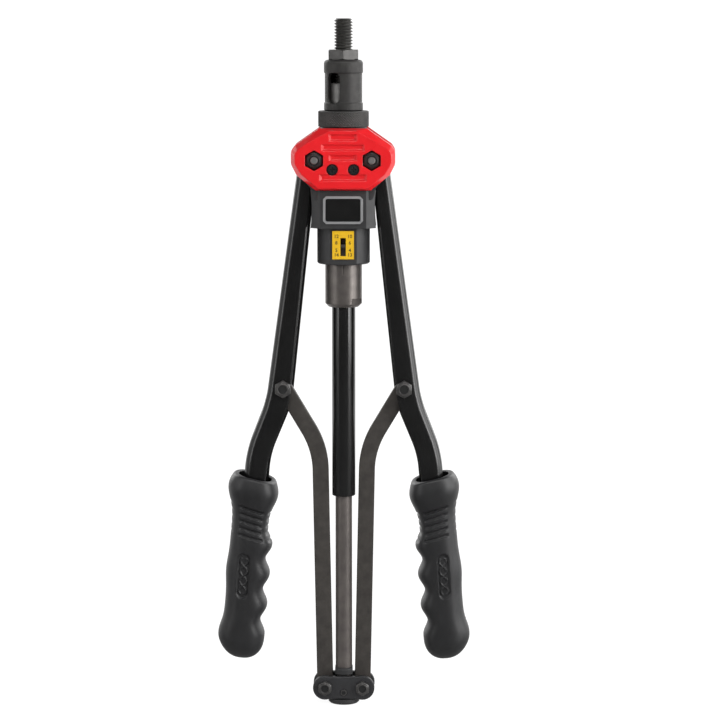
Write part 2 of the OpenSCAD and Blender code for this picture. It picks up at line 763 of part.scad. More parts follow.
module push_rod() {
    color([0.42, 0.39, 0.37]) {
        bar_z(z_collar_bottom, z_rod_step, rod_d / 2);
        bar_z(z_rod_step - eps, z_rod_top, spiral_r);
        bar_z(z_hub_bottom + 1, z_collar_bottom + eps, rod_spigot_r);
    }
}

// Collar where the rod enters the yoke, with flats beside the links
module rod_collar() {
    flat = yoke_bolt_x - link_w / 2 - 1.3;
    color([0.12, 0.12, 0.12]) difference() {
        intersection() {
            bar_z_chamfered(z_collar_bottom, z_collar_bottom + collar_h, rod_d / 2 + 2, 0.4, 0.8);
            translate([-flat, -rod_d, z_collar_bottom]) cube([2 * flat, 2 * rod_d, collar_h]);
        }
        bar_z(z_collar_bottom - 1, z_collar_bottom + collar_h + 1, rod_d / 2 + face_gap);
    }
}

module yoke_hub() {
    color([0.13, 0.13, 0.13]) difference() {
        union() {
            bar_z_chamfered(z_hub_bottom, z_yoke - yoke_lobe_r - face_gap, hub_d / 2, 0.8, 0);
            intersection() {
                bar_z(z_hub_bottom + 1, z_hub_top, hub_d / 2);
                translate([-hub_d, -yoke_gap + face_gap, z_hub_bottom])
                    cube([2 * hub_d, 2 * (yoke_gap - face_gap), 30]);
            }
        }
        bar_z(z_hub_bottom + 1 - face_gap, z_hub_top + 1, rod_spigot_r + face_gap);
    }
}

module yoke_plate() {
    color([0.13, 0.13, 0.13]) along_y(-yoke_gap - yoke_plate_t, -yoke_gap)
        difference() {
            union() {
                for (x = [-yoke_bolt_x, yoke_bolt_x]) translate([x, z_yoke]) circle(r = yoke_lobe_r);
                translate([-yoke_bolt_x, z_yoke - yoke_lobe_r + yoke_waist])
                    square([2 * yoke_bolt_x, 2 * (yoke_lobe_r - yoke_waist)]);
            }
            for (x = [-yoke_bolt_x, yoke_bolt_x])
                translate([x, z_yoke]) circle(d = yoke_bolt_d + 2 * face_gap);
            translate([0, z_yoke - yoke_pin_drop]) circle(d = yoke_pin_d + 2 * face_gap);
        }
}

module yoke_front_plate() {
    yoke_plate();
}

module yoke_rear_plate() {
    mirror([0, 1, 0]) yoke_plate();
}

// A hexagon-head bolt along Y with its head at the front
module bolt_y(p, seat, tail, d, af, h) {
    bar_y(p, seat - eps, tail, d / 2);
    difference() {
        hex_y(p, seat - h, seat, af);
        bar_y(p, seat - h - 1, seat - h + 0.5, af * 0.26);
    }
}

module yoke_bolts() {
    face = yoke_gap + yoke_plate_t;
    color([0.2, 0.2, 0.2]) pair()
        bolt_y([yoke_bolt_x, z_yoke], -face, face + yoke_nut_h + 1, yoke_bolt_d, yoke_nut_af, yoke_nut_h);
}

module yoke_nuts() {
    face = yoke_gap + yoke_plate_t;
    color([0.2, 0.2, 0.2]) mirror([0, 1, 0]) pair()
        lock_nut([yoke_bolt_x, z_yoke], -face, yoke_nut_af, yoke_nut_h, yoke_bolt_d);
}

// A washer along Y
module washer_y(p, y0, y1, r, d) {
    difference() {
        bar_y(p, y0, y1, r);
        bar_y(p, y0 - 1, y1 + 1, d / 2 + face_gap);
    }
}

module yoke_spacers() {
    color("gray") pair() front_and_rear()
        washer_y([yoke_bolt_x, z_yoke], -yoke_gap, -link_t / 2 - 0.1, link_eye_r - 1, yoke_bolt_d);
}

// Cross pin through the two plates and the foot of the rod
module yoke_pin() {
    face = yoke_gap + yoke_plate_t;
    p = [0, z_yoke - yoke_pin_drop];
    color([0.2, 0.2, 0.2]) front_and_rear() bar_y(p, -face - 0.6, -rod_spigot_r - face_gap, yoke_pin_d / 2);
}

// Outline of an arm seen from the front, for the side towards +X
module arm_outline() {
    strip(arm_path, arm_bends, -arm_inner, arm_outer);
    translate(arm_top) circle(r = arm_top_r);
    translate([pivot_x, z_pivot]) circle(r = arm_boss_r);
}

// A folded steel arm: a channel open towards the axis, closed along its outer edge
module arm() {
    inner = arm_d / 2 - arm_wall;
    color([0.07, 0.07, 0.07]) difference() {
        along_y(-arm_d / 2, arm_d / 2) arm_outline();
        along_y(-inner, inner) {
            strip(arm_path, arm_bends, [for (d = arm_inner) -d - arm_boss_r], [for (d = arm_outer) d - arm_wall]);
            translate(arm_top) circle(r = arm_top_r - arm_wall);
            translate([pivot_x, z_pivot]) circle(r = arm_boss_r + 3);
        }
        bar_y([pivot_x, z_pivot], -arm_d, arm_d, pivot_d / 2 + 1.5 + face_gap);
        bar_y(link_top, -arm_d, arm_d, link_bolt_d / 2 + face_gap);
    }
}

// Bush that spans the arm's two flanges round the pivot bolt
module bush() {
    p = [pivot_x, z_pivot];
    color("darkgoldenrod") difference() {
        bar_y(p, -arm_d / 2, arm_d / 2, pivot_d / 2 + 1.5);
        bar_y(p, -arm_d, arm_d, pivot_d / 2 + run_fit);
    }
}

module link_bolt() {
    face = arm_d / 2;
    color([0.22, 0.22, 0.22])
        bolt_y(link_top, -face, face + link_nut_h + 1, link_bolt_d, link_nut_af, link_nut_h);
}

module link_nut() {
    color([0.22, 0.22, 0.22]) mirror([0, 1, 0])
        lock_nut(link_top, -arm_d / 2, link_nut_af, link_nut_h, link_bolt_d);
}

module link_spacers() {
    color("gray") front_and_rear()
        washer_y(link_top, -arm_d / 2 + arm_wall, -link_t / 2 - 0.1, link_w / 2 - 0.3, link_bolt_d);
}

// A bent flat link with an eye at each end
module link(foot_room) {
    color([0.27, 0.25, 0.24]) difference() {
        along_y(-link_t / 2, link_t / 2) {
            strip(link_path, link_bends, [for (q = link_path) -link_w / 2], [for (q = link_path) link_w / 2]);
            translate(link_top) circle(d = link_w);
            translate(link_foot) circle(r = link_eye_r);
        }
        bar_y(link_top, -link_t, link_t, link_bolt_d / 2 + run_fit);
        bar_y(link_foot, -link_t, link_t, yoke_bolt_d / 2 + foot_room);
    }
}

// Height at t of a rounded bump, given as its distance from the grip's lip, its width and its height
function bump(t, b) = b[2] * exp(-pow((t - b[0]) / b[1], 2));
// How much of its full width the grip has at t, which falls off at the closed end
function grip_end(t) = t < grip_len - grip_dome ? 1 :
    sqrt(max(0.02, 1 - pow((t - grip_len + grip_dome) / grip_dome, 2)));
// Height at t of the finger ridges, which rise from a bump into an even wave
function ridges(t) = t < first_ridge - ridge_lead[1] * 2 / 3 ? bump(t, ridge_lead) :
    grip_ridge * (0.5 + 0.5 * cos(360 * (t - first_ridge) / ridge_pitch));
// Half widths of the grip at t: towards the palm, towards the fingers, and front to back
function grip_out(t) = grip_end(t) * (grip_palm + bump(t, palm_collar) + bump(t, palm_swell)
    + bump(t, palm_heel) - bump(t, lip_draw));
function grip_in(t) = grip_end(t) * (grip_finger + bump(t, finger_collar) + ridges(t));
function grip_side(t) = grip_end(t) * (grip_depth + bump(t, side_collar));

// A moulded grip, lofted through rounded sections across the lower end of the arm
module grip() {
    rings = 42;
    sides = 24;
    slot_w2 = arm_w / 2 + 0.15;
    slot_d2 = arm_d / 2 + 0.15;
    pts = [for (i = [0 : rings], j = [0 : sides - 1])
        let (t = grip_len * i / rings, a = 360 * j / sides,
             u = cos(a) > 0 ? grip_out(t) : grip_in(t),
             s = pow(pow(abs(cos(a)), 2.6) + pow(abs(sin(a)), 2.6), -1 / 2.6))
            [s * cos(a) * u, s * sin(a) * grip_side(t), grip_lip - t]];
    skin = [for (i = [0 : rings - 1], j = [0 : sides - 1])
        let (k = (j + 1) % sides)
            [i * sides + j, (i + 1) * sides + j, (i + 1) * sides + k, i * sides + k]];
    first = [for (j = [0 : sides - 1]) j];
    last = [for (j = [sides - 1 : -1 : 0]) rings * sides + j];
    color([0.2, 0.2, 0.22]) translate([grip_top[0], 0, grip_top[1]]) rotate([0, -grip_lean, 0])
        difference() {
            polyhedron(points = pts, faces = concat(skin, [first, last]));
            translate([-slot_w2, -slot_d2, -grip_fill - face_gap])
                cube([2 * slot_w2 + heel_swell, 2 * slot_d2, grip_fill + grip_lip + 1]);
        }
}

module left() {
    mirror([1, 0, 0]) children();
}

module left_arm() { left() arm(); }
module left_bush() { left() bush(); }
module left_grip() { left() grip(); }
module left_link_bolt() { left() link_bolt(); }
module left_link_nut() { left() link_nut(); }
module left_link_spacers() { left() link_spacers(); }
module left_link() { left() link(run_fit); }
module right_arm() { arm(); }
module right_bush() { bush(); }
module right_grip() { grip(); }
module right_link_bolt() { link_bolt(); }
module right_link_nut() { link_nut(); }
module right_link_spacers() { link_spacers(); }
module right_link() { link(open_pivot_room); }

mandrel();
anvil();
nose_sleeve();
lock_ring();
drive_chuck();
draw_shaft();
spiral_nut();
thrust_ring();
return_spring();
head_body();
front_cover();
rear_cover();
front_screws();
rear_screws();
pivot_bolts();
pivot_nuts();
label_plate();
gauge_scale();
gauge_pointer();
adjusting_sleeve();
guide_tube();
push_rod();
rod_collar();
yoke_hub();
yoke_front_plate();
yoke_rear_plate();
yoke_bolts();
yoke_nuts();
yoke_spacers();
yoke_pin();
left_arm();
left_bush();
left_grip();
left_link_bolt();
left_link_nut();
left_link_spacers();
left_link();
right_arm();
right_bush();
right_grip();
right_link_bolt();
right_link_nut();
right_link_spacers();
right_link();
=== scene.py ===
"""Dresses the rivet nut tool: the studio, the finishes, and the pieces whose surfaces are worked out here.

The tool stands with its nose to +Z and its front to -Y. Surfaces are worked out in millimetres and become
metres when their mesh is made.
"""
import json
import logging
import math
from dataclasses import dataclass
from enum import Enum
from typing import Any, Optional, Sequence

import bpy
import numpy as np
from mathutils import Matrix, Vector

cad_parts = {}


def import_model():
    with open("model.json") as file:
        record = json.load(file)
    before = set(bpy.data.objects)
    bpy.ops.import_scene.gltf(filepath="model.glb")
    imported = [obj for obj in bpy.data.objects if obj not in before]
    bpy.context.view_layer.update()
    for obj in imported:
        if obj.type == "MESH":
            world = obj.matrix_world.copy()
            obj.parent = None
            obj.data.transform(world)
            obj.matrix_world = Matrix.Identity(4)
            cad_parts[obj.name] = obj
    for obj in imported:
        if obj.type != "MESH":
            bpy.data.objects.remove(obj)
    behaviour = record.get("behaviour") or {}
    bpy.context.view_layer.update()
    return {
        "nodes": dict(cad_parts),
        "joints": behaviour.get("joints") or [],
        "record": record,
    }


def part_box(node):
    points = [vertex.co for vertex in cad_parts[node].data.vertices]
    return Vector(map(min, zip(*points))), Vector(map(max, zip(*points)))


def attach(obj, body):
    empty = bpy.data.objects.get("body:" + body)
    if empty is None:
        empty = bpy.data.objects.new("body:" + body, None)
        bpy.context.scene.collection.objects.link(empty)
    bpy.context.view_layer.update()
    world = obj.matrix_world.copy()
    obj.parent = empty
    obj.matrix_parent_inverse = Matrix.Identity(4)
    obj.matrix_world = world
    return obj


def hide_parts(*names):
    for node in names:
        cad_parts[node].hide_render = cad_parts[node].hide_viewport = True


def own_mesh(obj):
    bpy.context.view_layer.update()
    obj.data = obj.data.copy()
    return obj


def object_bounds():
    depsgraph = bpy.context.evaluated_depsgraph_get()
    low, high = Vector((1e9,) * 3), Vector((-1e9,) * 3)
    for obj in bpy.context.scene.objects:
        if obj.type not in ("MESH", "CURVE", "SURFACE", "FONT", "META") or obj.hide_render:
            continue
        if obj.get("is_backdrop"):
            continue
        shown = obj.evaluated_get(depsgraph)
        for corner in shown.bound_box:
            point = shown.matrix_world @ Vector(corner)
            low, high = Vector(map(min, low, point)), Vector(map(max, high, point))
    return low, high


LOG = logging.getLogger("rivet_nut_tool")
MM = 0.001
TAU = 2 * math.pi
Array = np.ndarray
Colour = tuple[float, float, float]
Point = tuple[float, float, float]
Pair = tuple[float, float]
Place = Pair
Profile = tuple[Pair, ...]
Socket = bpy.types.NodeSocket


class Side(Enum):
    """Which of the two mirrored levers a piece belongs to; the value is its sign along X."""

    LEFT = -1
    RIGHT = 1

    @property
    def label(self) -> str:
        """The word that starts the names of this side's pieces."""
        return self.name.lower()


class Grain(Enum):
    """How the fine marks of a finish run; the value stretches Object coordinates along X, Y and Z."""

    EVEN = (1.0, 1.0, 1.0)
    ALONG = (1.0, 1.0, 0.04)
    AROUND = (0.12, 0.12, 1.0)


@dataclass
class Skin:
    """Points in millimetres and the faces between them."""

    points: Array
    faces: list[list[int]]

    def plus(self, other: "Skin") -> "Skin":
        """Puts two skins side by side in one.

        Args:
            other: The skin whose points and faces go after these.
        Returns:
            A skin that holds both.
        """
        shift = len(self.points)
        moved = [[i + shift for i in face] for face in other.faces]
        return Skin(np.concatenate([self.points, other.points]), self.faces + moved)

    def mirrored(self, side: Side) -> "Skin":
        """Gives the skin on one side of the YZ plane.

        Args:
            side: The right side leaves the skin as it is, and the left one mirrors it in X.
        Returns:
            The skin with its faces still outwards.
        """
        if side is Side.RIGHT:
            return self
        return Skin(self.points * np.array([-1.0, 1.0, 1.0]), [face[::-1] for face in self.faces])

    def doubled(self) -> "Skin":
        """Puts the skin and its mirror image on the left in one."""
        return self.plus(self.mirrored(Side.LEFT))

    def outwards(self) -> "Skin":
        """Turns a closed skin so that its faces point out, told by the sign of the volume inside it.

        Returns:
            The skin, facing out.
        """
        first = np.array([face[0] for face in self.faces for _ in face[2:]])
        second = np.array([i for face in self.faces for i in face[1:-1]])
        third = np.array([i for face in self.faces for i in face[2:]])
        a, b, c = self.points[first], self.points[second], self.points[third]
        if np.einsum("ij,ij->", a, np.cross(b, c)) < 0:
            return Skin(self.points, [face[::-1] for face in self.faces])
        return self


def lofted(rows: Array, ring: bool = False) -> Skin:
    """Joins closed rows of points into a closed skin: quads between neighbours, and a flat face on each end.

    Args:
        rows: Points of shape (rows, columns, 3); each row is a closed loop.
        ring: True joins the last row to the first, as in a ring, in place of the end faces.
    Returns:
        The skin, facing out.
    """
    count, around = rows.shape[:2]
    index = np.arange(count * around).reshape(count, around)
    low = index if ring else index[:-1]
    high = np.roll(index, -1, axis=0) if ring else index[1:]
    quads = np.stack([low, np.roll(low, -1, axis=1), np.roll(high, -1, axis=1), high], axis=-1)
    faces = quads.reshape(-1, 4).tolist()
    if not ring:
        faces += [index[0, ::-1].tolist(), index[-1].tolist()]
    return Skin(rows.reshape(-1, 3), faces).outwards()


def smoothstep(x: Array, low: float, high: float) -> Array:
    """A ramp from 0 at low to 1 at high that starts and ends level."""
    t = np.clip((x - low) / (high - low), 0, 1)
    return t * t * (3 - 2 * t)


def zigzag(x: Array) -> Array:
    """A triangle wave of period 1 that is 0 at whole numbers and 1 halfway between."""
    return 1 - np.abs(2 * (x - np.floor(x)) - 1)


def angles(count: int) -> Array:
    """Equally spaced angles of a full turn, in radians."""
    return np.arange(count) * TAU / count


def grid(x: Array, y: Array, z: Array) -> Array:
    """Points from arrays of their coordinates, which are stretched to one shape."""
    return np.stack(np.broadcast_arrays(x, y, z), axis=-1)


def disc(radius: float, s: Array, least: float = 0.0) -> Array:
    """Half the chord of a circle at distances s from its middle, but no smaller than least."""
    return np.sqrt(np.clip(radius ** 2 - s ** 2, least ** 2, None))


class Tree:
    """The node tree of a new material, with a short way to add and join its nodes."""

    def __init__(self, name: str) -> None:
        """Starts a material with only its output.

        Args:
            name: The material's name.
        """
        self.material = bpy.data.materials.new(name)
        self.material.use_nodes = True
        self.tree = self.material.node_tree
        self.tree.nodes.clear()
        self.output = self.add("ShaderNodeOutputMaterial")

    def add(self, kind: str, inputs: Optional[dict[Any, Any]] = None, **settings: Any) -> bpy.types.Node:
        """Adds a node.

        Args:
            kind: The node's type.
            inputs: What each input takes, by name or number: another node's output, or a plain value.
            settings: The node's own properties.
        Returns:
            The new node.
        """
        node = self.tree.nodes.new(kind)
        for name, value in settings.items():
            setattr(node, name, value)
        for name, value in (inputs or {}).items():
            if isinstance(value, Socket):
                self.tree.links.new(value, node.inputs[name])
            else:
                node.inputs[name].default_value = value
        return node

    def noise(self, where: Socket, size_mm: float, detail: float = 3.0) -> Socket:
        """Even noise of about 0 to 1 on coordinates in metres, with blotches of size_mm."""
        return self.add("ShaderNodeTexNoise", {"Vector": where, "Scale": 1 / (size_mm * MM),
                                               "Detail": detail}).outputs["Fac"]

    def between(self, factor: Socket, low: float, high: float,
                start: float = 0.3, end: float = 0.7) -> Socket:
        """Spreads a factor: low where it is start, high where it is end."""
        return self.add("ShaderNodeMapRange", {"Value": factor, "From Min": start, "From Max": end,
                                               "To Min": low, "To Max": high}).outputs["Result"]

    def worked_out(self, operation: str, first: Any, second: Any) -> Socket:
        """One value from two, each of which is a plain value or the output of a node."""
        return self.add("ShaderNodeMath", {0: first, 1: second}, operation=operation).outputs[0]

    def mix(self, factor: Socket, first: Any, second: Any) -> Socket:
        """Mixes two colours.

        Args:
            factor: 0 gives the first colour, and 1 the second.
            first: A colour or the output of a node.
            second: A colour or the output of a node.
        Returns:
            The mixed colour.
        """
        node = self.add("ShaderNodeMix", data_type="RGBA")
        ends = (("Factor_Float", factor), ("A_Color", first), ("B_Color", second))
        for name, value in ends:
            socket = next(s for s in node.inputs if s.identifier == name)
            if isinstance(value, Socket):
                self.tree.links.new(value, socket)
            else:
                socket.default_value = (*value, 1)
        return next(s for s in node.outputs if s.identifier == "Result_Color")

    def finish(self, shader: bpy.types.Node) -> bpy.types.Material:
        """Joins the last shader to the output and gives the material."""
        self.tree.links.new(shader.outputs[0], self.output.inputs["Surface"])
        return self.material


@dataclass(frozen=True)
class Finish:
    """A surface finish: two clouded colours, roughness that varies with fine marks, and rounded edges."""

    slot: str
    colour: Colour
    cloud: Colour
    metallic: float = 0.0
    rough: Pair = (0.4, 0.55)
    grain: Grain = Grain.EVEN
    mark_mm: float = 0.5
    cloud_mm: float = 9.0
    bump_mm: float = 0.006
    coat: float = 0.0
    coat_rough: float = 0.08
    edge_mm: float = 0.3
    specular: float = 0.5
    mark_detail: float = 4.0
    edge_samples: int = 6
    label: str = ""

    def base(self, tree: Tree, where: Socket) -> Socket:
        """The colour, on Object coordinates: one cloud of noise mixes the two colours."""
        return tree.mix(tree.between(tree.noise(where, self.cloud_mm), 0, 1), self.colour, self.cloud)

    def relief(self, tree: Tree, where: Socket) -> Socket:
        """The height of the fine marks, on Object coordinates: noise stretched along the grain."""
        run = tree.add("ShaderNodeMapping", {"Vector": where, "Scale": self.grain.value}).outputs["Vector"]
        return tree.noise(run, self.mark_mm, self.mark_detail)

    def material(self) -> bpy.types.Material:
        """Makes the material, or gives the one that was made before.

        Returns:
            The material.
        """
        name = (self.label or self.slot) + "_finish"
        made = bpy.data.materials.get(name)
        if made:
            return made
        tree = Tree(name)
        where = tree.add("ShaderNodeTexCoord").outputs["Object"]
        height = self.relief(tree, where)
        edge = tree.add("ShaderNodeBevel", {"Radius": self.edge_mm * MM},
                        samples=self.edge_samples).outputs["Normal"]
        normal = tree.add("ShaderNodeBump", {"Height": height, "Distance": self.bump_mm * MM,
                                             "Normal": edge}).outputs["Normal"]
        return tree.finish(tree.add("ShaderNodeBsdfPrincipled", {
            "Base Color": self.base(tree, where), "Metallic": self.metallic, "Normal": normal,
            "Roughness": tree.between(height, *self.rough), "Specular IOR Level": self.specular,
            "Coat Weight": self.coat, "Coat Roughness": self.coat_rough, "Coat Normal": edge}))


TOOL_STEEL = Finish("tool_steel", (0.050, 0.049, 0.046), (0.072, 0.070, 0.065), 0.6, (0.34, 0.52))
BLACK_OXIDE = Finish("black_oxide", (0.060, 0.059, 0.058), (0.085, 0.083, 0.080), 0.55, (0.42, 0.60),
                     Grain.AROUND, 0.35, 7.0)
# Painted light: a lighter copy of black oxide for the drive chuck, lifting the chuck that sits in shade
# inside its window.
CHUCK_PAINTED_LIGHT = Finish("black_oxide", (0.14, 0.137, 0.134), (0.20, 0.196, 0.19), 0.6, (0.34, 0.5), Grain.AROUND,
                     0.35, 4.0, label="chuck_painted_light")
NOSE_OXIDE = Finish("black_oxide", (0.034, 0.033, 0.032), (0.050, 0.048, 0.046), 0.5, (0.44, 0.62),
                    Grain.AROUND, 0.35, 6.0, label="nose_oxide")
ANVIL_OXIDE = Finish("black_oxide", (0.075, 0.073, 0.071), (0.102, 0.099, 0.096), 0.6, (0.36, 0.52),
                     mark_mm=0.35, cloud_mm=5.0, edge_mm=0.5, label="anvil_oxide")
BRIGHT_STEEL = Finish("bright_steel", (0.30, 0.30, 0.30), (0.38, 0.37, 0.36), 1.0, (0.28, 0.45), Grain.AROUND)
BRONZE = Finish("bronze", (0.42, 0.27, 0.11), (0.50, 0.33, 0.15), 1.0, (0.3, 0.45), Grain.AROUND)
BLACK_CASTING = Finish("black_casting", (0.030, 0.030, 0.031), (0.038, 0.038, 0.039), 0.0, (0.36, 0.52),
                       mark_mm=0.7, bump_mm=0.012, edge_mm=0.5, specular=0.4)
YOKE_BLACK = Finish("black_casting", (0.026, 0.026, 0.028), (0.034, 0.034, 0.036), 0.0, (0.34, 0.48),
                    mark_mm=0.7, bump_mm=0.010, edge_mm=1.5, specular=0.5, label="yoke_black")
RED_GLOSS = Finish("red_gloss", (0.68, 0.011, 0.015), (0.72, 0.014, 0.019), 0.0, (0.17, 0.21), mark_mm=2.2,
                   cloud_mm=18, bump_mm=0.0004, edge_mm=0.9, specular=0.6)
BLACK_FASTENER = Finish("black_fastener", (0.080, 0.078, 0.077), (0.115, 0.111, 0.108), 0.55, (0.24, 0.38),
                        mark_mm=0.3, cloud_mm=3.0, edge_mm=0.2)
BLACK_SCREW = Finish("black_fastener", (0.020, 0.020, 0.021), (0.032, 0.032, 0.032), 0.5, (0.3, 0.45),
                     mark_mm=0.3, cloud_mm=3.0, edge_mm=0.15, label="black_screw")
LOCK_BLACK = Finish("black_fastener", (0.038, 0.037, 0.037), (0.056, 0.055, 0.054), 0.55, (0.24, 0.38),
                    mark_mm=0.3, edge_mm=0.3, label="lock_nut_black")
NUT_GREY = Finish("black_fastener", (0.17, 0.167, 0.163), (0.24, 0.235, 0.23), 0.5, (0.26, 0.40), mark_mm=0.3,
                  cloud_mm=3.0, edge_mm=0.2, label="nut_grey")
# Near black: the nylon inserts of the pivots' locking nuts, and painted shade in the dimples of the link and
# yoke bolts' heads; the black disc on the yoke pin's middle uses it too.
NYLON_AND_SHADE = Finish("black_fastener", (0.008, 0.008, 0.008), (0.012, 0.012, 0.012), 0.0, (0.5, 0.6), edge_mm=0.1,
               label="nylon_and_painted_shade")
GUNMETAL = Finish("gunmetal", (0.155, 0.140, 0.131), (0.200, 0.181, 0.168), 0.75, (0.30, 0.46), Grain.AROUND,
                  0.3, 6.0, 0.004)
GLOSS_BLACK = Finish("gloss_black", (0.006, 0.006, 0.006), (0.009, 0.009, 0.009), 0.0, (0.16, 0.24),
                     Grain.ALONG, 1.2, 20.0, 0.003, coat=0.5, coat_rough=0.05)
GREY_STEEL = Finish("grey_steel", (0.145, 0.130, 0.123), (0.185, 0.165, 0.154), 0.6, (0.34, 0.50),
                    Grain.ALONG, 0.35, 7.0, 0.004)
BLACK_ENAMEL = Finish("black_enamel", (0.006, 0.006, 0.006), (0.009, 0.009, 0.009), 0.0, (0.18, 0.24),
                      mark_mm=1.4, cloud_mm=14, bump_mm=0.0003, edge_mm=0.12, specular=0.6)
GRIP_RUBBER = Finish("grip_rubber", (0.0135, 0.0135, 0.0145), (0.018, 0.018, 0.019), 0.0, (0.38, 0.52),
                     mark_mm=0.5, cloud_mm=12, bump_mm=0.014, edge_mm=0.4, specular=0.55)
PHOSPHATE_STEEL = Finish("phosphate_steel", (0.046, 0.041, 0.037), (0.066, 0.059, 0.053), 0.3, (0.50, 0.66),
                         mark_mm=0.4, cloud_mm=5.0, bump_mm=0.008, edge_mm=0.5)
LABEL_GREY = Finish("label", (0.26, 0.26, 0.265), (0.32, 0.32, 0.325), 0.3, (0.36, 0.5),
                    mark_mm=0.4, edge_mm=0.2)
LABEL_BLACK = Finish("label", (0.005, 0.005, 0.005), (0.008, 0.008, 0.008), 0.0, (0.30, 0.38), mark_mm=0.6,
                     bump_mm=0.004, edge_mm=0.1, specular=0.3, label="label_field")
GAUGE_INK = Finish("gauge_yellow", (0.030, 0.016, 0.006), (0.040, 0.022, 0.008), 0.0, (0.5, 0.6),
                   edge_mm=0.05, label="gauge_ink")
GAUGE_YELLOW = Finish("gauge_yellow", (0.68, 0.40, 0.004), (0.72, 0.43, 0.006), 0.0, (0.38, 0.46),
                      mark_mm=1.0, bump_mm=0.003, edge_mm=0.1)


@dataclass(frozen=True)
class PhotoCamera:
    """The camera at the photograph's angle: it looks a little down, from a little to the right."""

    pitch_deg: float = 7.5
    turn_deg: float = 0.8
    distance_mm: float = 1700.0
    view_width_mm: float = 472.3
    aim_mm: Point = (10.7, 0.0, -202.2)
    sensor_mm: float = 36.0

    def build(self) -> None:
        """Makes the camera and has the scene use it."""
        pitch, turn = math.radians(self.pitch_deg), math.radians(self.turn_deg)
        away = Vector((math.cos(pitch) * math.sin(turn), -math.cos(pitch) * math.cos(turn), math.sin(pitch)))
        data = bpy.data.cameras.new("photo_camera")
        data.sensor_width = self.sensor_mm
        data.lens = self.sensor_mm * self.distance_mm / self.view_width_mm
        camera = bpy.data.objects.new("photo_camera", data)
        place = Matrix.Translation((Vector(self.aim_mm) + away * self.distance_mm) * MM)
        camera.matrix_world = place @ away.to_track_quat("Z", "Y").to_matrix().to_4x4()
        bpy.context.scene.collection.objects.link(camera)
        bpy.context.scene.camera = camera


@dataclass(frozen=True)
class Softbox:
    """A flat studio lamp, hidden from the camera: its place and size in metres, and its power in watts."""

    name: str
    place: Point
    width: float
    height: float
    watts: float

    def build(self, aim: Vector) -> None:
        """Makes the lamp.

        Args:
            aim: The point it faces.
        """
        data = bpy.data.lights.new(self.name, "AREA")
        data.shape = "RECTANGLE"
        data.size, data.size_y, data.energy = self.width, self.height, self.watts
        lamp = bpy.data.objects.new(self.name, data)
        lamp.visible_camera = False
        lamp.location = self.place
        lamp.rotation_euler = (aim - lamp.location).to_track_quat("-Z", "Y").to_euler()
        bpy.context.scene.collection.objects.link(lamp)


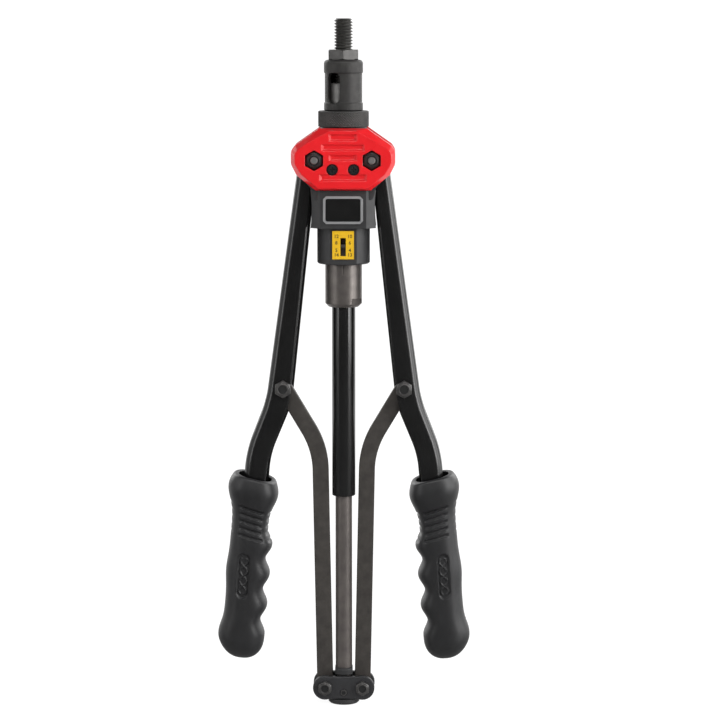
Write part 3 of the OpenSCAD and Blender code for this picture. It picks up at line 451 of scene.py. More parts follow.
@dataclass(frozen=True)
class Studio:
    """A white floor that runs up into a backdrop, a dim world, and soft lamps on all sides and above.

    Polished metal mirrors the white backdrop behind the object, but only a dim floor in front of it.
    """

    floor_m: float = 6.0
    wall_m: float = 2.2
    cove_m: float = 0.8
    drop_m: float = 0.0003
    sharp_deg: float = 60
    rows: int = 40
    columns: int = 9
    paper: tuple[Colour, Colour] = ((0.93, 0.93, 0.93), (0.95, 0.95, 0.95))
    paper_mm: float = 900.0
    behind_m: Pair = (-0.1, 0.4)
    glow: float = 1.25
    glow_share: float = 0.78
    dim: Colour = (0.12, 0.12, 0.12)
    world_strength: float = 0.10
    lamps: tuple[Softbox, ...] = (
        Softbox("left_softbox", (-1.5, -0.3, 0.25), 2.0, 1.7, 6.5),
        Softbox("left_strip", (-1.5, -1.05, 0.25), 0.4, 1.7, 5),
        Softbox("right_softbox", (1.5, -0.3, 0.25), 2.0, 1.7, 30),
        Softbox("right_strip", (1.5, -1.05, 0.25), 0.4, 1.7, 10),
        Softbox("top_softbox", (0.0, -1.6, 1.3), 1.4, 0.8, 18),
        Softbox("rear_left_softbox", (-1.0, 1.3, 0.5), 1.0, 1.2, 9),
        Softbox("rear_right_softbox", (1.0, 1.3, 0.5), 1.0, 1.2, 9),
    )

    def sweep(self, low: float) -> Skin:
        """The backdrop: a line that runs level, turns up a quarter circle and climbs, carried along X.

        Args:
            low: The height of the floor in metres.
        Returns:
            The skin, in millimetres.
        """
        bend = np.linspace(0, math.pi / 2, self.rows)
        y = np.concatenate([[-self.floor_m / 2], self.wall_m - self.cove_m + self.cove_m * np.sin(bend),
                            [self.wall_m]])
        z = np.concatenate([[0.0], self.cove_m * (1 - np.cos(bend)), [self.floor_m / 2]]) + low
        x = np.linspace(-self.floor_m / 2, self.floor_m / 2, self.columns)
        points = grid(x[None, :], y[:, None], z[:, None]) / MM
        index = np.arange(points.shape[0] * self.columns).reshape(-1, self.columns)
        quads = np.stack([index[:-1, :-1], index[:-1, 1:], index[1:, 1:], index[1:, :-1]], axis=-1)
        return Skin(points.reshape(-1, 3), quads.reshape(-1, 4).tolist())

    def material(self) -> bpy.types.Material:
        """The paper: white to the camera and to mirrors in front of it, and otherwise a plain matt surface.

        Returns:
            The material.
        """
        tree = Tree("studio_paper")
        where = tree.add("ShaderNodeTexCoord").outputs["Object"]
        paper = tree.mix(tree.between(tree.noise(where, self.paper_mm), 0, 1), *self.paper)
        place = tree.add("ShaderNodeSeparateXYZ", {0: where}).outputs["Y"]
        behind = tree.between(place, 0, 1, *self.behind_m)
        ray = tree.add("ShaderNodeLightPath").outputs
        mirrored = tree.worked_out("MULTIPLY", ray["Is Glossy Ray"], behind)
        seen = tree.worked_out("MAXIMUM", ray["Is Camera Ray"], mirrored)
        share = tree.worked_out("MULTIPLY", seen, self.glow_share)
        lit = tree.add("ShaderNodeBsdfDiffuse", {"Color": tree.mix(ray["Is Glossy Ray"], paper, self.dim)})
        glow = tree.add("ShaderNodeEmission", {"Color": paper, "Strength": self.glow})
        both = {"Fac": share, 1: lit.outputs[0], 2: glow.outputs[0]}
        return tree.finish(tree.add("ShaderNodeMixShader", both))

    def world(self) -> bpy.types.World:
        """The world: white to the camera, and a dim light to all else.

        Returns:
            The world.
        """
        world = bpy.data.worlds.new("studio_world")
        world.use_nodes = True
        nodes, links = world.node_tree.nodes, world.node_tree.links
        background = nodes["Background"]
        background.inputs["Color"].default_value = (1, 1, 1, 1)
        strength = nodes.new("ShaderNodeMath")
        strength.operation = "MULTIPLY_ADD"
        strength.inputs[1].default_value = 1 - self.world_strength
        strength.inputs[2].default_value = self.world_strength
        links.new(nodes.new("ShaderNodeLightPath").outputs["Is Camera Ray"], strength.inputs[0])
        links.new(strength.outputs[0], background.inputs["Strength"])
        return world

    def build(self, low: Vector, high: Vector) -> None:
        """Makes the backdrop, the world and the lamps.

        Args:
            low: The lowest corner of the object's box, in metres.
            high: The highest corner.
        """
        floor = mesh_object("studio_floor", self.sweep(low.z - self.drop_m), self.sharp_deg)
        floor.data.materials.append(self.material())
        floor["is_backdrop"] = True
        bpy.context.scene.world = self.world()
        for lamp in self.lamps:
            lamp.build((low + high) / 2)
        bpy.context.scene.view_settings.view_transform = "Standard"


def mesh_object(name: str, skin: Skin, sharp_deg: float) -> bpy.types.Object:
    """Makes an object at the origin from a skin.

    Args:
        name: The object's name.
        skin: Its points in millimetres and its faces.
        sharp_deg: Edges that turn more than this stay sharp.
    Returns:
        The object, in the scene.
    """
    mesh = bpy.data.meshes.new(name)
    mesh.from_pydata((skin.points * MM).tolist(), [], skin.faces)
    mesh.polygons.foreach_set("use_smooth", np.ones(len(skin.faces), bool))
    mesh.set_sharp_from_angle(angle=math.radians(sharp_deg))
    mesh.update()
    shown = bpy.data.objects.new(name, mesh)
    bpy.context.scene.collection.objects.link(shown)
    return shown


def dressed(name: str, skin: Skin, finish: Finish, body: str, replaced: Sequence[str] = (),
            sharp_deg: float = 35) -> bpy.types.Object:
    """Makes a finished piece that rides on a body.

    Args:
        name: The piece's name.
        skin: Its surface.
        finish: Its finish.
        body: The body it moves with.
        replaced: The frame's nodes that it stands for.
        sharp_deg: Edges that turn more than this stay sharp.
    Returns:
        The piece.
    """
    piece = mesh_object(name, skin, sharp_deg)
    piece.data.materials.append(finish.material())
    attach(piece, body)
    if replaced:
        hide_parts(*replaced)
    LOG.info("%s: %d faces, on %s", name, len(skin.faces), body)
    return piece


@dataclass(frozen=True)
class Knurl:
    """A diamond knurl round a ring: how many diamonds, how deep, and the plain rounds at its two ends."""

    count: int
    depth: float
    rounds: Pair
    steps: int = 6

    def ring(self, outer: float, bore: float, low: float, high: float) -> Skin:
        """A ring whose outer wall is cut by two zigzags that climb opposite ways.

        Args:
            outer: The radius at the points of the diamonds.
            bore: The radius of the hole.
            low: The height of the lower face.
            high: The height of the upper face.
        Returns:
            The closed ring.
        """
        turn = angles(self.count * self.steps)[None, :]
        pitch = TAU * outer / self.count
        z = np.linspace(low, high, int((high - low) / pitch * self.steps) + 1)[:, None]
        left = zigzag(self.count * turn / TAU + z / pitch)
        right = zigzag(self.count * turn / TAU - z / pitch)
        cut = self.depth * (1 - np.minimum(left, right))
        ends = [np.minimum(r, d) for r, d in zip(self.rounds, (z - low, high - z))]
        edge = [r - disc(r, r - e) for r, e in zip(self.rounds, ends)]
        radius = np.minimum(outer - cut, outer - edge[0] - edge[1])
        wall = grid(radius * np.cos(turn), radius * np.sin(turn), z)
        hole = grid(bore * np.cos(turn), bore * np.sin(turn), z[[-1, 0]])
        return lofted(np.concatenate([wall, hole]), ring=True)


@dataclass(frozen=True)
class Nose:
    """The threaded mandrel, and the knurled lock ring and band of the nose."""

    thread_r: float = 6.0
    thread_pitch: float = 1.95
    thread_depth: float = 1.15
    crest: float = 0.14
    flank: float = 0.62
    tip_chamfer: float = 1.3
    thread_columns: int = 72
    rows_a_pitch: int = 14
    ring_knurl: Knurl = Knurl(62, 0.6, (0.9, 1.1))
    ring_bore: float = 0.76
    band_knurl: Knurl = Knurl(66, 0.16, (0.5, 2.6))
    band_proud: float = 0.1
    band_wall: float = 3.6
    band_h: float = 8.4
    band_over: float = 0.05

    def thread(self, low: float, high: float) -> Skin:
        """A screw thread: the radius falls from crest to root as a clipped zigzag of height less turn.

        Args:
            low: The height of its lower end.
            high: The height of its tip, which is chamfered.
        Returns:
            The closed skin.
        """
        turn = angles(self.thread_columns)[None, :]
        z = np.linspace(low, high, int((high - low) / self.thread_pitch * self.rows_a_pitch))[:, None]
        wave = zigzag(z / self.thread_pitch - turn / TAU)
        groove = self.thread_depth * np.clip((wave - self.crest) / self.flank, 0, 1)
        cone = self.thread_r - self.tip_chamfer + (high - z)
        radius = np.minimum(self.thread_r - groove, cone)
        return lofted(grid(radius * np.cos(turn), radius * np.sin(turn), z))

    def build(self) -> None:
        """Makes the pieces of the nose."""
        low, high = (c.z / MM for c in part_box("mandrel"))
        dressed("mandrel_thread", self.thread(low, high), TOOL_STEEL, "spindle", ["mandrel"], sharp_deg=50)
        low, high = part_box("lock_ring")
        outer = high.x / MM
        ring = self.ring_knurl.ring(outer, outer * self.ring_bore, low.z / MM, high.z / MM)
        dressed("lock_ring_knurl", ring, BLACK_OXIDE, "lock_ring", ["lock_ring"], sharp_deg=20)
        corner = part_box("nose_sleeve")[1] / MM
        band = self.band_knurl.ring(corner.x + self.band_proud, corner.x - self.band_wall,
                                    corner.z - self.band_h, corner.z + self.band_over)
        dressed("nose_band_knurl", band, NOSE_OXIDE, "head", sharp_deg=20)


@dataclass(frozen=True)
class ReturnSpring:
    """The spring round the draw shaft, whose upper end is fixed; it is made at one length and rides on the
    head.
    """

    wire_r: float = 0.75
    turns: int = 6
    steps: int = 36
    columns: int = 12
    stroke: float = 6.0

    def coil(self, radius: float, low: float, high: float) -> Skin:
        """A wire's round section carried up a helix.

        Args:
            radius: The helix's radius.
            low: The height of the lowest point.
            high: The height of the highest point.
        Returns:
            The closed skin.
        """
        turn = np.linspace(0, TAU * self.turns, self.turns * self.steps + 1)[:, None]
        wire = angles(self.columns)[None, :]
        reach = radius + self.wire_r * np.cos(wire)
        rise = low + self.wire_r + (high - low - 2 * self.wire_r) * turn / turn[-1]
        return lofted(grid(reach * np.cos(turn), reach * np.sin(turn), rise + self.wire_r * np.sin(wire)))

    def build(self) -> None:
        """Makes the spring."""
        low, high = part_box("return_spring")
        skin = self.coil(high.x / MM - self.wire_r, low.z / MM, high.z / MM)
        spring = dressed("return_spring_coil", skin, BRIGHT_STEEL, "head", ["return_spring"])
        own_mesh(spring)


@dataclass(frozen=True)
class BentLine:
    """A line in the XZ plane: straights between its corners, and arcs that round them."""

    corners: tuple[Place, ...]
    radii: tuple[float, ...]
    step: float = 1.6

    def sample(self) -> tuple[Array, Array, Array]:
        """Walks along the line.

        Returns:
            The points, the unit vectors along the line, and the distances from its start.
        """
        corners = np.array(self.corners)
        ways = np.diff(corners, axis=0)
        ways /= np.linalg.norm(ways, axis=1)[:, None]
        points, headings, start = [], [], corners[0]
        for i, radius in enumerate(self.radii):
            u, v = ways[i], ways[i + 1]
            bend = math.atan2(u[0] * v[1] - u[1] * v[0], float(u @ v))
            take = radius * abs(math.tan(bend / 2))
            enter = corners[i + 1] - u * take
            self.straight(points, headings, start, enter)
            turn = np.linspace(0, bend, max(3, int(radius * abs(bend) / self.step)))[1:, None]
            normal = np.array([-u[1], u[0]]) * np.sign(bend)
            points.append(enter + radius * (u * np.sin(np.abs(turn)) + normal * (1 - np.cos(turn))))
            headings.append(u * np.cos(turn) + normal * np.sin(np.abs(turn)))
            start = points[-1][-1]
        self.straight(points, headings, start, corners[-1])
        where, heading = np.concatenate(points), np.concatenate(headings)
        gone = np.concatenate([[0.0], np.cumsum(np.linalg.norm(np.diff(where, axis=0), axis=1))])
        return where, heading, gone

    def straight(self, points: list[Array], headings: list[Array], start: Array, end: Array) -> None:
        """Adds a straight stretch.

        Args:
            points: The list that its points go into; the start is only added to an empty list.
            headings: The list that their directions go into.
            start: Where it starts.
            end: Where it ends.
        """
        length = float(np.linalg.norm(end - start))
        t = np.linspace(0, 1, max(2, int(length / self.step)))[(1 if points else 0):, None]
        points.append(start + (end - start) * t)
        headings.append(np.repeat(((end - start) / length)[None, :], len(t), axis=0))


def carried(where: Array, heading: Array, loop: Array, shift: Array) -> Skin:
    """Carries a section along a line in the XZ plane.

    Args:
        where: Points of the line, (rows, 2).
        heading: Unit vectors along it, (rows, 2).
        loop: Points (across, depth) of the section, (columns, 2); across is to the line's left when it is
            walked, and depth is along Y.
        shift: How far each point moves across in each row, (rows, columns).
    Returns:
        The closed skin.
    """
    left = np.stack([-heading[:, 1], heading[:, 0]], axis=-1)
    flat = where[:, None, :] + left[:, None, :] * (loop[None, :, 0] + shift)[..., None]
    return lofted(grid(flat[..., 0], loop[None, :, 1], flat[..., 1]))


def rounded_loop(corners: Sequence[tuple[float, float, float]], steps: int = 5) -> Array:
    """A closed loop whose corners are rounded: at each corner a quadratic curve joins points one radius away.

    Args:
        corners: Corners (x, y, radius).
        steps: Points on each corner.
    Returns:
        The points, (corners times steps, 2).
    """
    data = np.array(corners, float)
    here, before, after = data[:, :2], np.roll(data[:, :2], 1, axis=0), np.roll(data[:, :2], -1, axis=0)
    to_before = (before - here) / np.linalg.norm(before - here, axis=1)[:, None] * data[:, 2:]
    to_after = (after - here) / np.linalg.norm(after - here, axis=1)[:, None] * data[:, 2:]
    t = np.linspace(0, 1, steps)[None, :, None]
    curve = here[:, None] + to_before[:, None] * (1 - t) ** 2 + to_after[:, None] * t ** 2
    return curve.reshape(-1, 2)


def joint_place(frame: dict[str, Any], name: str) -> Place:
    """The X and Z of a joint of the loaded frame, in millimetres."""
    place = next(j for j in frame["joints"] if j["name"] == name)["pos_m"]
    return place[0] / MM, place[2] / MM


def sloped(start: Place, lean_deg: float, length: float) -> Place:
    """The point a length away from start, down a line that leans outwards from upright by lean_deg."""
    lean = math.radians(lean_deg)
    return start[0] + length * math.sin(lean), start[1] - length * math.cos(lean)


@dataclass(frozen=True)
class Arm:
    """An arm folded from sheet: a channel that is open on the inner side. Sizes are the right one's."""

    pivot: Place
    link_bolt: Place
    width: float = 14.4
    depth: float = 20.0
    wall: float = 2.5
    fold_r: float = 6.5
    front_lip: float = 1.3
    lip_bevel: Pair = (1.2, 0.7)
    bevel_rounds: Pair = (0.15, 0.3)
    lip_rounds: Pair = (0.8, 0.4)
    offset: float = 1.5
    lean: float = 6.2
    jog_lean: float = 22.7
    jog_len: float = 37.0
    jog_start: float = 10.0
    bends: Pair = (60.0, 66.0)
    heel_len: float = 19.4
    back: tuple[float, ...] = (4.2, 8.8, 7.8, 7.2)
    lap: tuple[float, ...] = (0.4, 0.9, 1.0, 0.8)
    top_r: float = 6.6
    in_grip: float = 70.0
    grip_lean: float = 5.1
    boss_r: float = 9.6
    boss_in: float = 0.85
    boss_tip: float = 0.2

    def line(self) -> BentLine:
        """The arm's centreline, from above its pivot down into the grip.

        Returns:
            The line.
        """
        mid = (self.link_bolt[0] + self.offset, self.link_bolt[1])
        up = (self.pivot[1] - mid[1]) / math.cos(math.radians(self.lean)) + self.boss_r
        jog = sloped(mid, self.lean, self.jog_start)
        heel = sloped(jog, self.jog_lean, self.jog_len)
        end = sloped(heel, self.grip_lean, self.heel_len + self.in_grip)
        return BentLine((sloped(mid, self.lean, -up), jog, heel, end), self.bends)

    def grip_top(self) -> Place:
        """The point of the centreline where the grip's mouth starts."""
        return sloped(self.line().corners[2], self.grip_lean, self.heel_len)

    def section(self) -> Array:
        """The channel's section: rounded folds, and a front flange that is narrower and bevelled at its lip.

        Returns:
            Points (across, depth).
        """
        half, deep, wall, lip = self.width / 2, self.depth / 2, self.wall, self.front_lip
        inner = self.fold_r - wall
        (across, down), (sharp, soft), (rear, inside) = self.lip_bevel, self.bevel_rounds, self.lip_rounds
        return rounded_loop([
            (lip - half, down - deep, sharp), (lip + across - half, -deep, soft), (half, -deep, self.fold_r),
            (half, deep, self.fold_r), (-half, deep, rear), (-half, deep - wall, inside),
            (half - wall, deep - wall, inner), (half - wall, wall - deep, inner),
            (lip - half, wall - deep, inside)], steps=7)

    def skin(self) -> Skin:
        """The arm: its section carried down its line.

        Its back lies further out from the line towards the jog, in straight tapers between the corners. Near
        the pivot the flanges widen to a round boss, and the channel's back rounds off.

        Returns:
            The closed skin.
        """
        line, loop, half = self.line(), self.section(), self.width / 2
        where, heading, gone = line.sample()
        legs = np.linalg.norm(np.diff(np.array(line.corners), axis=0), axis=1)
        at = np.concatenate([[self.boss_r], np.cumsum(legs)])
        taper = np.interp(gone, at, self.back)
        s = gone - self.boss_r
        inset = half - self.boss_in
        boss = disc(self.boss_r, s, self.boss_tip)
        top = disc(self.top_r, np.minimum(s, 0))
        back = np.where(s < 0, np.maximum(np.minimum(top, taper), boss - inset), taper)
        mouth = np.maximum(np.where(s < 0, 0, half), np.where(np.abs(s) < self.boss_r, boss + inset, 0))
        mouth = mouth + np.where(s > self.boss_r, np.interp(gone, at, self.lap), 0)
        shift = np.where(loop[None, :, 0] > 0, (back - half)[:, None], (half - mouth)[:, None])
        return carried(where, heading, loop, shift)


@dataclass(frozen=True)
class Link:
    """A bent flat bar between an arm and the yoke. Sizes are the right one's."""

    link_bolt: Place
    yoke_bolt: Place
    width: float = 10.6
    thick: float = 6.0
    edge: float = 0.7
    lean: float = 30.8
    upper: float = 47.0
    bend: float = 55.0
    eye_r: float = 5.9
    tip: float = 0.1
    step: float = 0.8

    def skin(self) -> Skin:
        """The link: a rounded bar section carried down a bent line, with a round eye at each end.

        Returns:
            The closed skin.
        """
        knee = sloped(self.link_bolt, -self.lean, self.upper)
        down = np.array(self.yoke_bolt) - np.array(knee)
        end = np.array(self.yoke_bolt) + down / np.linalg.norm(down) * self.eye_r
        half, deep = self.width / 2, self.thick / 2
        start = sloped(self.link_bolt, -self.lean, -half)
        where, heading, gone = BentLine((start, knee, tuple(end)), (self.bend,), self.step).sample()
        corners = ((-half, -deep), (half, -deep), (half, deep), (-half, deep))
        loop = rounded_loop([(x, y, self.edge) for x, y in corners])
        first, last = gone - half, gone[-1] - gone - self.eye_r
        width = np.where(first < 0, disc(half, first, self.tip), half)
        eye = disc(self.eye_r, last, self.tip)
        width = np.where(last < 0, eye, np.maximum(width, np.where(last < self.eye_r, eye, 0)))
        return carried(where, heading, loop, np.sign(loop[None, :, 0]) * (width - half)[:, None])


@dataclass(frozen=True)
class Swell:
    """A rounded swelling along the grip: its middle, width and height, which is negative for a hollow."""

    middle: float
    width: float
    height: float

    def at(self, t: Array) -> Array:
        """Its height at distances t from the lip: a bell, 0.37 of the height one width from the middle."""
        return self.height * np.exp(-(((t - self.middle) / self.width) ** 2))


@dataclass(frozen=True)
class Grip:
    """A moulded rubber grip. Distances along it start at its lip; across it, the palm side is positive."""

    top: Place
    lean: float
    length: float = 122.8
    lip: float = 4.0
    inwards: float = 0.9
    palm: float = 14.4
    palm_swells: tuple[Swell, ...] = (Swell(9.5, 11, 4.2), Swell(63, 10, 1.2), Swell(106, 9, 2.8),
                                      Swell(-6, 7, -3))
    finger: float = 9.9
    finger_swells: tuple[Swell, ...] = (Swell(9, 10.5, 4.8),)
    depth: float = 15.5
    depth_swells: tuple[Swell, ...] = (Swell(9, 10, 2.52), Swell(105, 22, 0.8))
    ridge_h: float = 3.7
    ridge_pitch: float = 20.7
    first_ridge: float = 44.0
    ridges: int = 3
    end_len: float = 15.0
    end_power: float = 2.4
    square: float = 2.6
    rib_slope: float = 0.09
    rib_start: float = 18.5
    rib_pitch: float = 4.6
    rib_flank: Pair = (0.4, 0.8)
    rib_rows: tuple[float, ...] = (18.4, 19.2, 41.0, 43.0)
    rib_depth: Pair = (1.5, 1.0)
    rib_change: Pair = (22.0, 24.0)
    rib_corner: Pair = (0.25, 0.6)
    rib_palm: Pair = (0.6, 0.8)
    rib_palm_cut: float = 0.8
    recess_x: float = 3.4
    recess_t: float = 65.0
    recess_lean: float = 0.02
    recess_half: float = 11.2
    recess_edge: Pair = (3.3, 4.1)
    recess_depth: float = 1.3
    recess_face: float = 0.4
    diamond_w: float = 2.5
    diamond_pitch: float = 6.6
    diamond_h: float = 0.8
    diamond_line: Pair = (0.25, 0.75)
    diamond_end: Pair = (11.5, 12.5)
    wall: float = 3.4
    lip_r: float = 1.4
    mouth: float = 9.0
    body: float = 100.0
    tilt: float = 0.14
    tilt_fade: Pair = (28.0, 62.0)
    columns: int = 168
    rows: tuple[int, int, int, int] = (8, 9, 230, 46)
    end_gap: float = 0.02

    def half_widths(self, t: Array) -> tuple[Array, Array, Array]:
        """The grip's half widths along its length.

        Args:
            t: Distances from the lip.
        Returns:
            The half widths on the palm side and on the finger side, and the half depth: a steady size with
            its swells, a wave for the finger ridges, and a rounding to nothing at the end.
        """
        last = (1 - np.clip((t - self.length + self.end_len) / self.end_len, 0, 1) ** self.end_power) ** 0.5
        first, pitch = self.first_ridge, self.ridge_pitch
        wave = 0.5 + 0.5 * np.cos(TAU * (t - first) / pitch)
        ridge = np.where(t < first - pitch / 2, 0, np.where(t > first + self.ridges * pitch, 1, wave))
        palm = self.palm + sum(swell.at(t) for swell in self.palm_swells)
        finger = self.finger + sum(swell.at(t) for swell in self.finger_swells) + self.ridge_h * ridge
        depth = self.depth + sum(swell.at(t) for swell in self.depth_swells)
        return palm * last, finger * last, depth * last

    def carving(self, t: Array, x: Array, turn: Array) -> Array:
        """How far the skin sinks: sloping ribs under the collar, and a long recess with a chain of diamonds.

        Args:
            t: Distances from the lip.
            x: Distances across the grip.
            turn: Angles round the grip.
        Returns:
            The depth of the carving. The ribs fade at the corners and on the palm, and the recess is on the
            front and back faces.
        """
        v = t + self.rib_slope * x
        rib = smoothstep(zigzag((v - self.rib_start) / self.rib_pitch), *self.rib_flank)
        rows = smoothstep(v, *self.rib_rows[:2]) * (1 - smoothstep(v, *self.rib_rows[2:]))
        palm = 1 - self.rib_palm_cut * smoothstep(np.cos(turn), *self.rib_palm)
        panels = smoothstep(np.abs(np.cos(2 * turn)), *self.rib_corner) * palm
        first, rest = self.rib_depth
        ribs = (first + (rest - first) * smoothstep(v, *self.rib_change)) * rib * rows * panels
        along = t - self.recess_t
        across = x - self.recess_x + self.recess_lean * along
        past = np.clip(np.abs(along) - self.recess_half, 0, None)
        inside = 1 - smoothstep(np.hypot(across, past), *self.recess_edge)
        chain = np.abs(np.abs(across) - self.diamond_w * np.abs(np.sin(np.pi * along / self.diamond_pitch)))
        drawn = 1 - smoothstep(chain, *self.diamond_line)
        diamonds = drawn * (1 - smoothstep(np.abs(along), *self.diamond_end))
        faces = np.sin(turn) ** 2 > self.recess_face
        return ribs + np.where(faces, inside * (self.recess_depth - self.diamond_h * diamonds), 0)

    def skin(self) -> Skin:
        """The grip: rounded sections whose half widths change along its length, carved, from inside its mouth
        over the lip and down to the closed end. Near the lip the sections tilt down towards the inner side.

        Returns:
            The closed skin.
        """
        turn = angles(self.columns)[None, :]
        mouth_rows, lip_rows, body_rows, end_rows = self.rows
        rounding = np.sin(np.linspace(0, math.pi / 2, end_rows)[1:])
        outer = np.concatenate([np.linspace(self.lip_r, self.body, body_rows),
                                self.body + (self.length - self.body - self.end_gap) * rounding])
        over = np.linspace(0, math.pi, lip_rows)[1:-1]
        t = np.concatenate([np.linspace(self.mouth, self.lip_r, mouth_rows), self.lip_r * (1 - np.sin(over)),
                            outer])
        sunk = np.concatenate([np.full(mouth_rows, self.wall), self.wall / 2 * (1 + np.cos(over)),
                               np.zeros(len(outer))])
        palm, finger, depth = self.half_widths(np.maximum(t, 0))
        power = self.square
        ray = (np.abs(np.cos(turn)) ** power + np.abs(np.sin(turn)) ** power) ** (-1 / power)
        wide = np.where(np.cos(turn) > 0, (palm - sunk)[:, None], (finger - sunk)[:, None])
        x, y = ray * np.cos(turn) * wide, ray * np.sin(turn) * (depth - sunk)[:, None]
        carving = np.where(sunk[:, None] > 0, 0, self.carving(t[:, None], x, turn))
        left = 1 - carving / (np.hypot(x, y) + 1e-6)
        x, y = x * left, y * left
        down = t[:, None] - self.tilt * x * (1 - smoothstep(t, *self.tilt_fade))[:, None] - self.lip
        lean, x = math.radians(self.lean), x - self.inwards
        return lofted(grid(self.top[0] + down * math.sin(lean) + x * math.cos(lean), y,
                           self.top[1] - down * math.cos(lean) + x * math.sin(lean)))


@dataclass(frozen=True)
class Lever:
    """One side of the linkage: an arm, its grip, and the link that hangs on it."""

    side: Side
    pivot: Place
    link_bolt: Place
    yoke_bolt: Place

    def build(self) -> None:
        """Makes the arm, the grip and the link on this lever's side."""
        label = self.side.label
        arm = Arm(self.pivot, self.link_bolt)
        grip = Grip(arm.grip_top(), arm.grip_lean)
        link = Link(self.link_bolt, self.yoke_bolt)
        for part, shape, finish, body in (("arm", arm, BLACK_ENAMEL, "lever"),
                                          ("grip", grip, GRIP_RUBBER, "lever"),
                                          ("link", link, PHOSPHATE_STEEL, "link")):
            node = f"{label}_{part}"
            skin = shape.skin().mirrored(self.side)
            dressed(node + "_skin", skin, finish, f"{label}_{body}", [node], sharp_deg=30)


@dataclass(frozen=True)
class HexFastener:
    """A hexagonal piece on an axis along Y, with a corner up: its place in XZ and its size over flats.

    A profile has rows of depth from the outer end, and radius as a share of the size over flats. A cone has
    the depths between which it takes off the hexagon's corners.
    """

    place: Place
    flats: float
    columns: int = 96
    cone_shares: Pair = (0.47, 0.585)
    cone_rows: int = 6
    corner: float = 0.6
    head: Profile = ((1.2, 0.27), (0.2, 0.29), (0.0, 0.31), (0.0, 0.335), (0.2, 0.385), (0.7, 0.42))
    head_cone: Pair = (0.75, 1.7)
    tail_h: float = 0.6
    tail_share: float = 0.8
    collar: Profile = ((1.3, 0.31), (0.2, 0.325), (0.0, 0.345), (0.1, 0.375), (0.45, 0.41), (0.95, 0.44))
    collar_cone: Pair = (1.0, 1.9)
    core_rows: Profile = ((0.45, 0.25), (0.4, 0.33), (1.5, 0.33))

    def skin(self, rows: Sequence[Pair]) -> Skin:
        """The surface: at each height along Y, the smaller of a hexagon and a circle.

        Args:
            rows: From end to end, the height along Y, and the circle's radius as a share of the size over
                flats.
        Returns:
            The closed skin.
        """
        turn = angles(self.columns)[None, :]
        y, share = np.array(rows, float).T[:, :, None]
        sector = (turn + math.pi / 6) % (math.pi / 3) - math.pi / 6
        radius = np.minimum(self.flats / 2 / np.cos(sector), share * self.flats)
        return lofted(grid(self.place[0] + radius * np.cos(turn), y, self.place[1] + radius * np.sin(turn)))

    def end(self, profile: Profile, cone: Sequence[float], tip: float, way: float) -> list[Pair]:
        """The rows of an outer end.

        Args:
            profile: The end's profile.
            cone: Its cone's depths, or nothing.
            tip: The height of the outer end.
            way: 1 where depth runs along +Y, or -1.
        Returns:
            The rows, down to the cone's end.
        """
        rows = list(profile)
        if cone:
            rows += zip(np.linspace(*cone, self.cone_rows), np.linspace(*self.cone_shares, self.cone_rows))
        return [(tip + way * depth, share) for depth, share in rows]

    def bolt(self, tip: float, seat: float, tail: float, shank: float) -> Skin:
        """A bolt: a head with a round dimple and a raised collar, and a plain shank.

        Args:
            tip: The height of the head's outer face.
            seat: The height of its inner face.
            tail: The height of the shank's end.
            shank: The shank's radius.
        Returns:
            The closed skin.
        """
        way, bar = math.copysign(1.0, seat - tip), shank / self.flats
        return self.skin(self.end(self.head, self.head_cone, tip, way) + [
            (seat, self.corner), (seat, bar), (tail - way * self.tail_h, bar), (tail, bar * self.tail_share)])

    def lock_nut(self, tip: float, seat: float) -> Skin:
        """A chamfered hexagon with a rounded collar on its outer end at tip, which has a dished hole."""
        way = math.copysign(1.0, seat - tip)
        return self.skin(self.end(self.collar, self.collar_cone, tip, way) + [(seat, self.corner)])

    def core(self, tip: float, seat: float) -> Skin:
        """The dark disc just inside the outer end, at tip, of a bolt's head or of a nut's collar: in a nut it
        is the nylon insert, and in a bolt's head it is painted shade that fills the dimple.
        """
        return self.skin(self.end(self.core_rows, (), tip, math.copysign(1.0, seat - tip)))


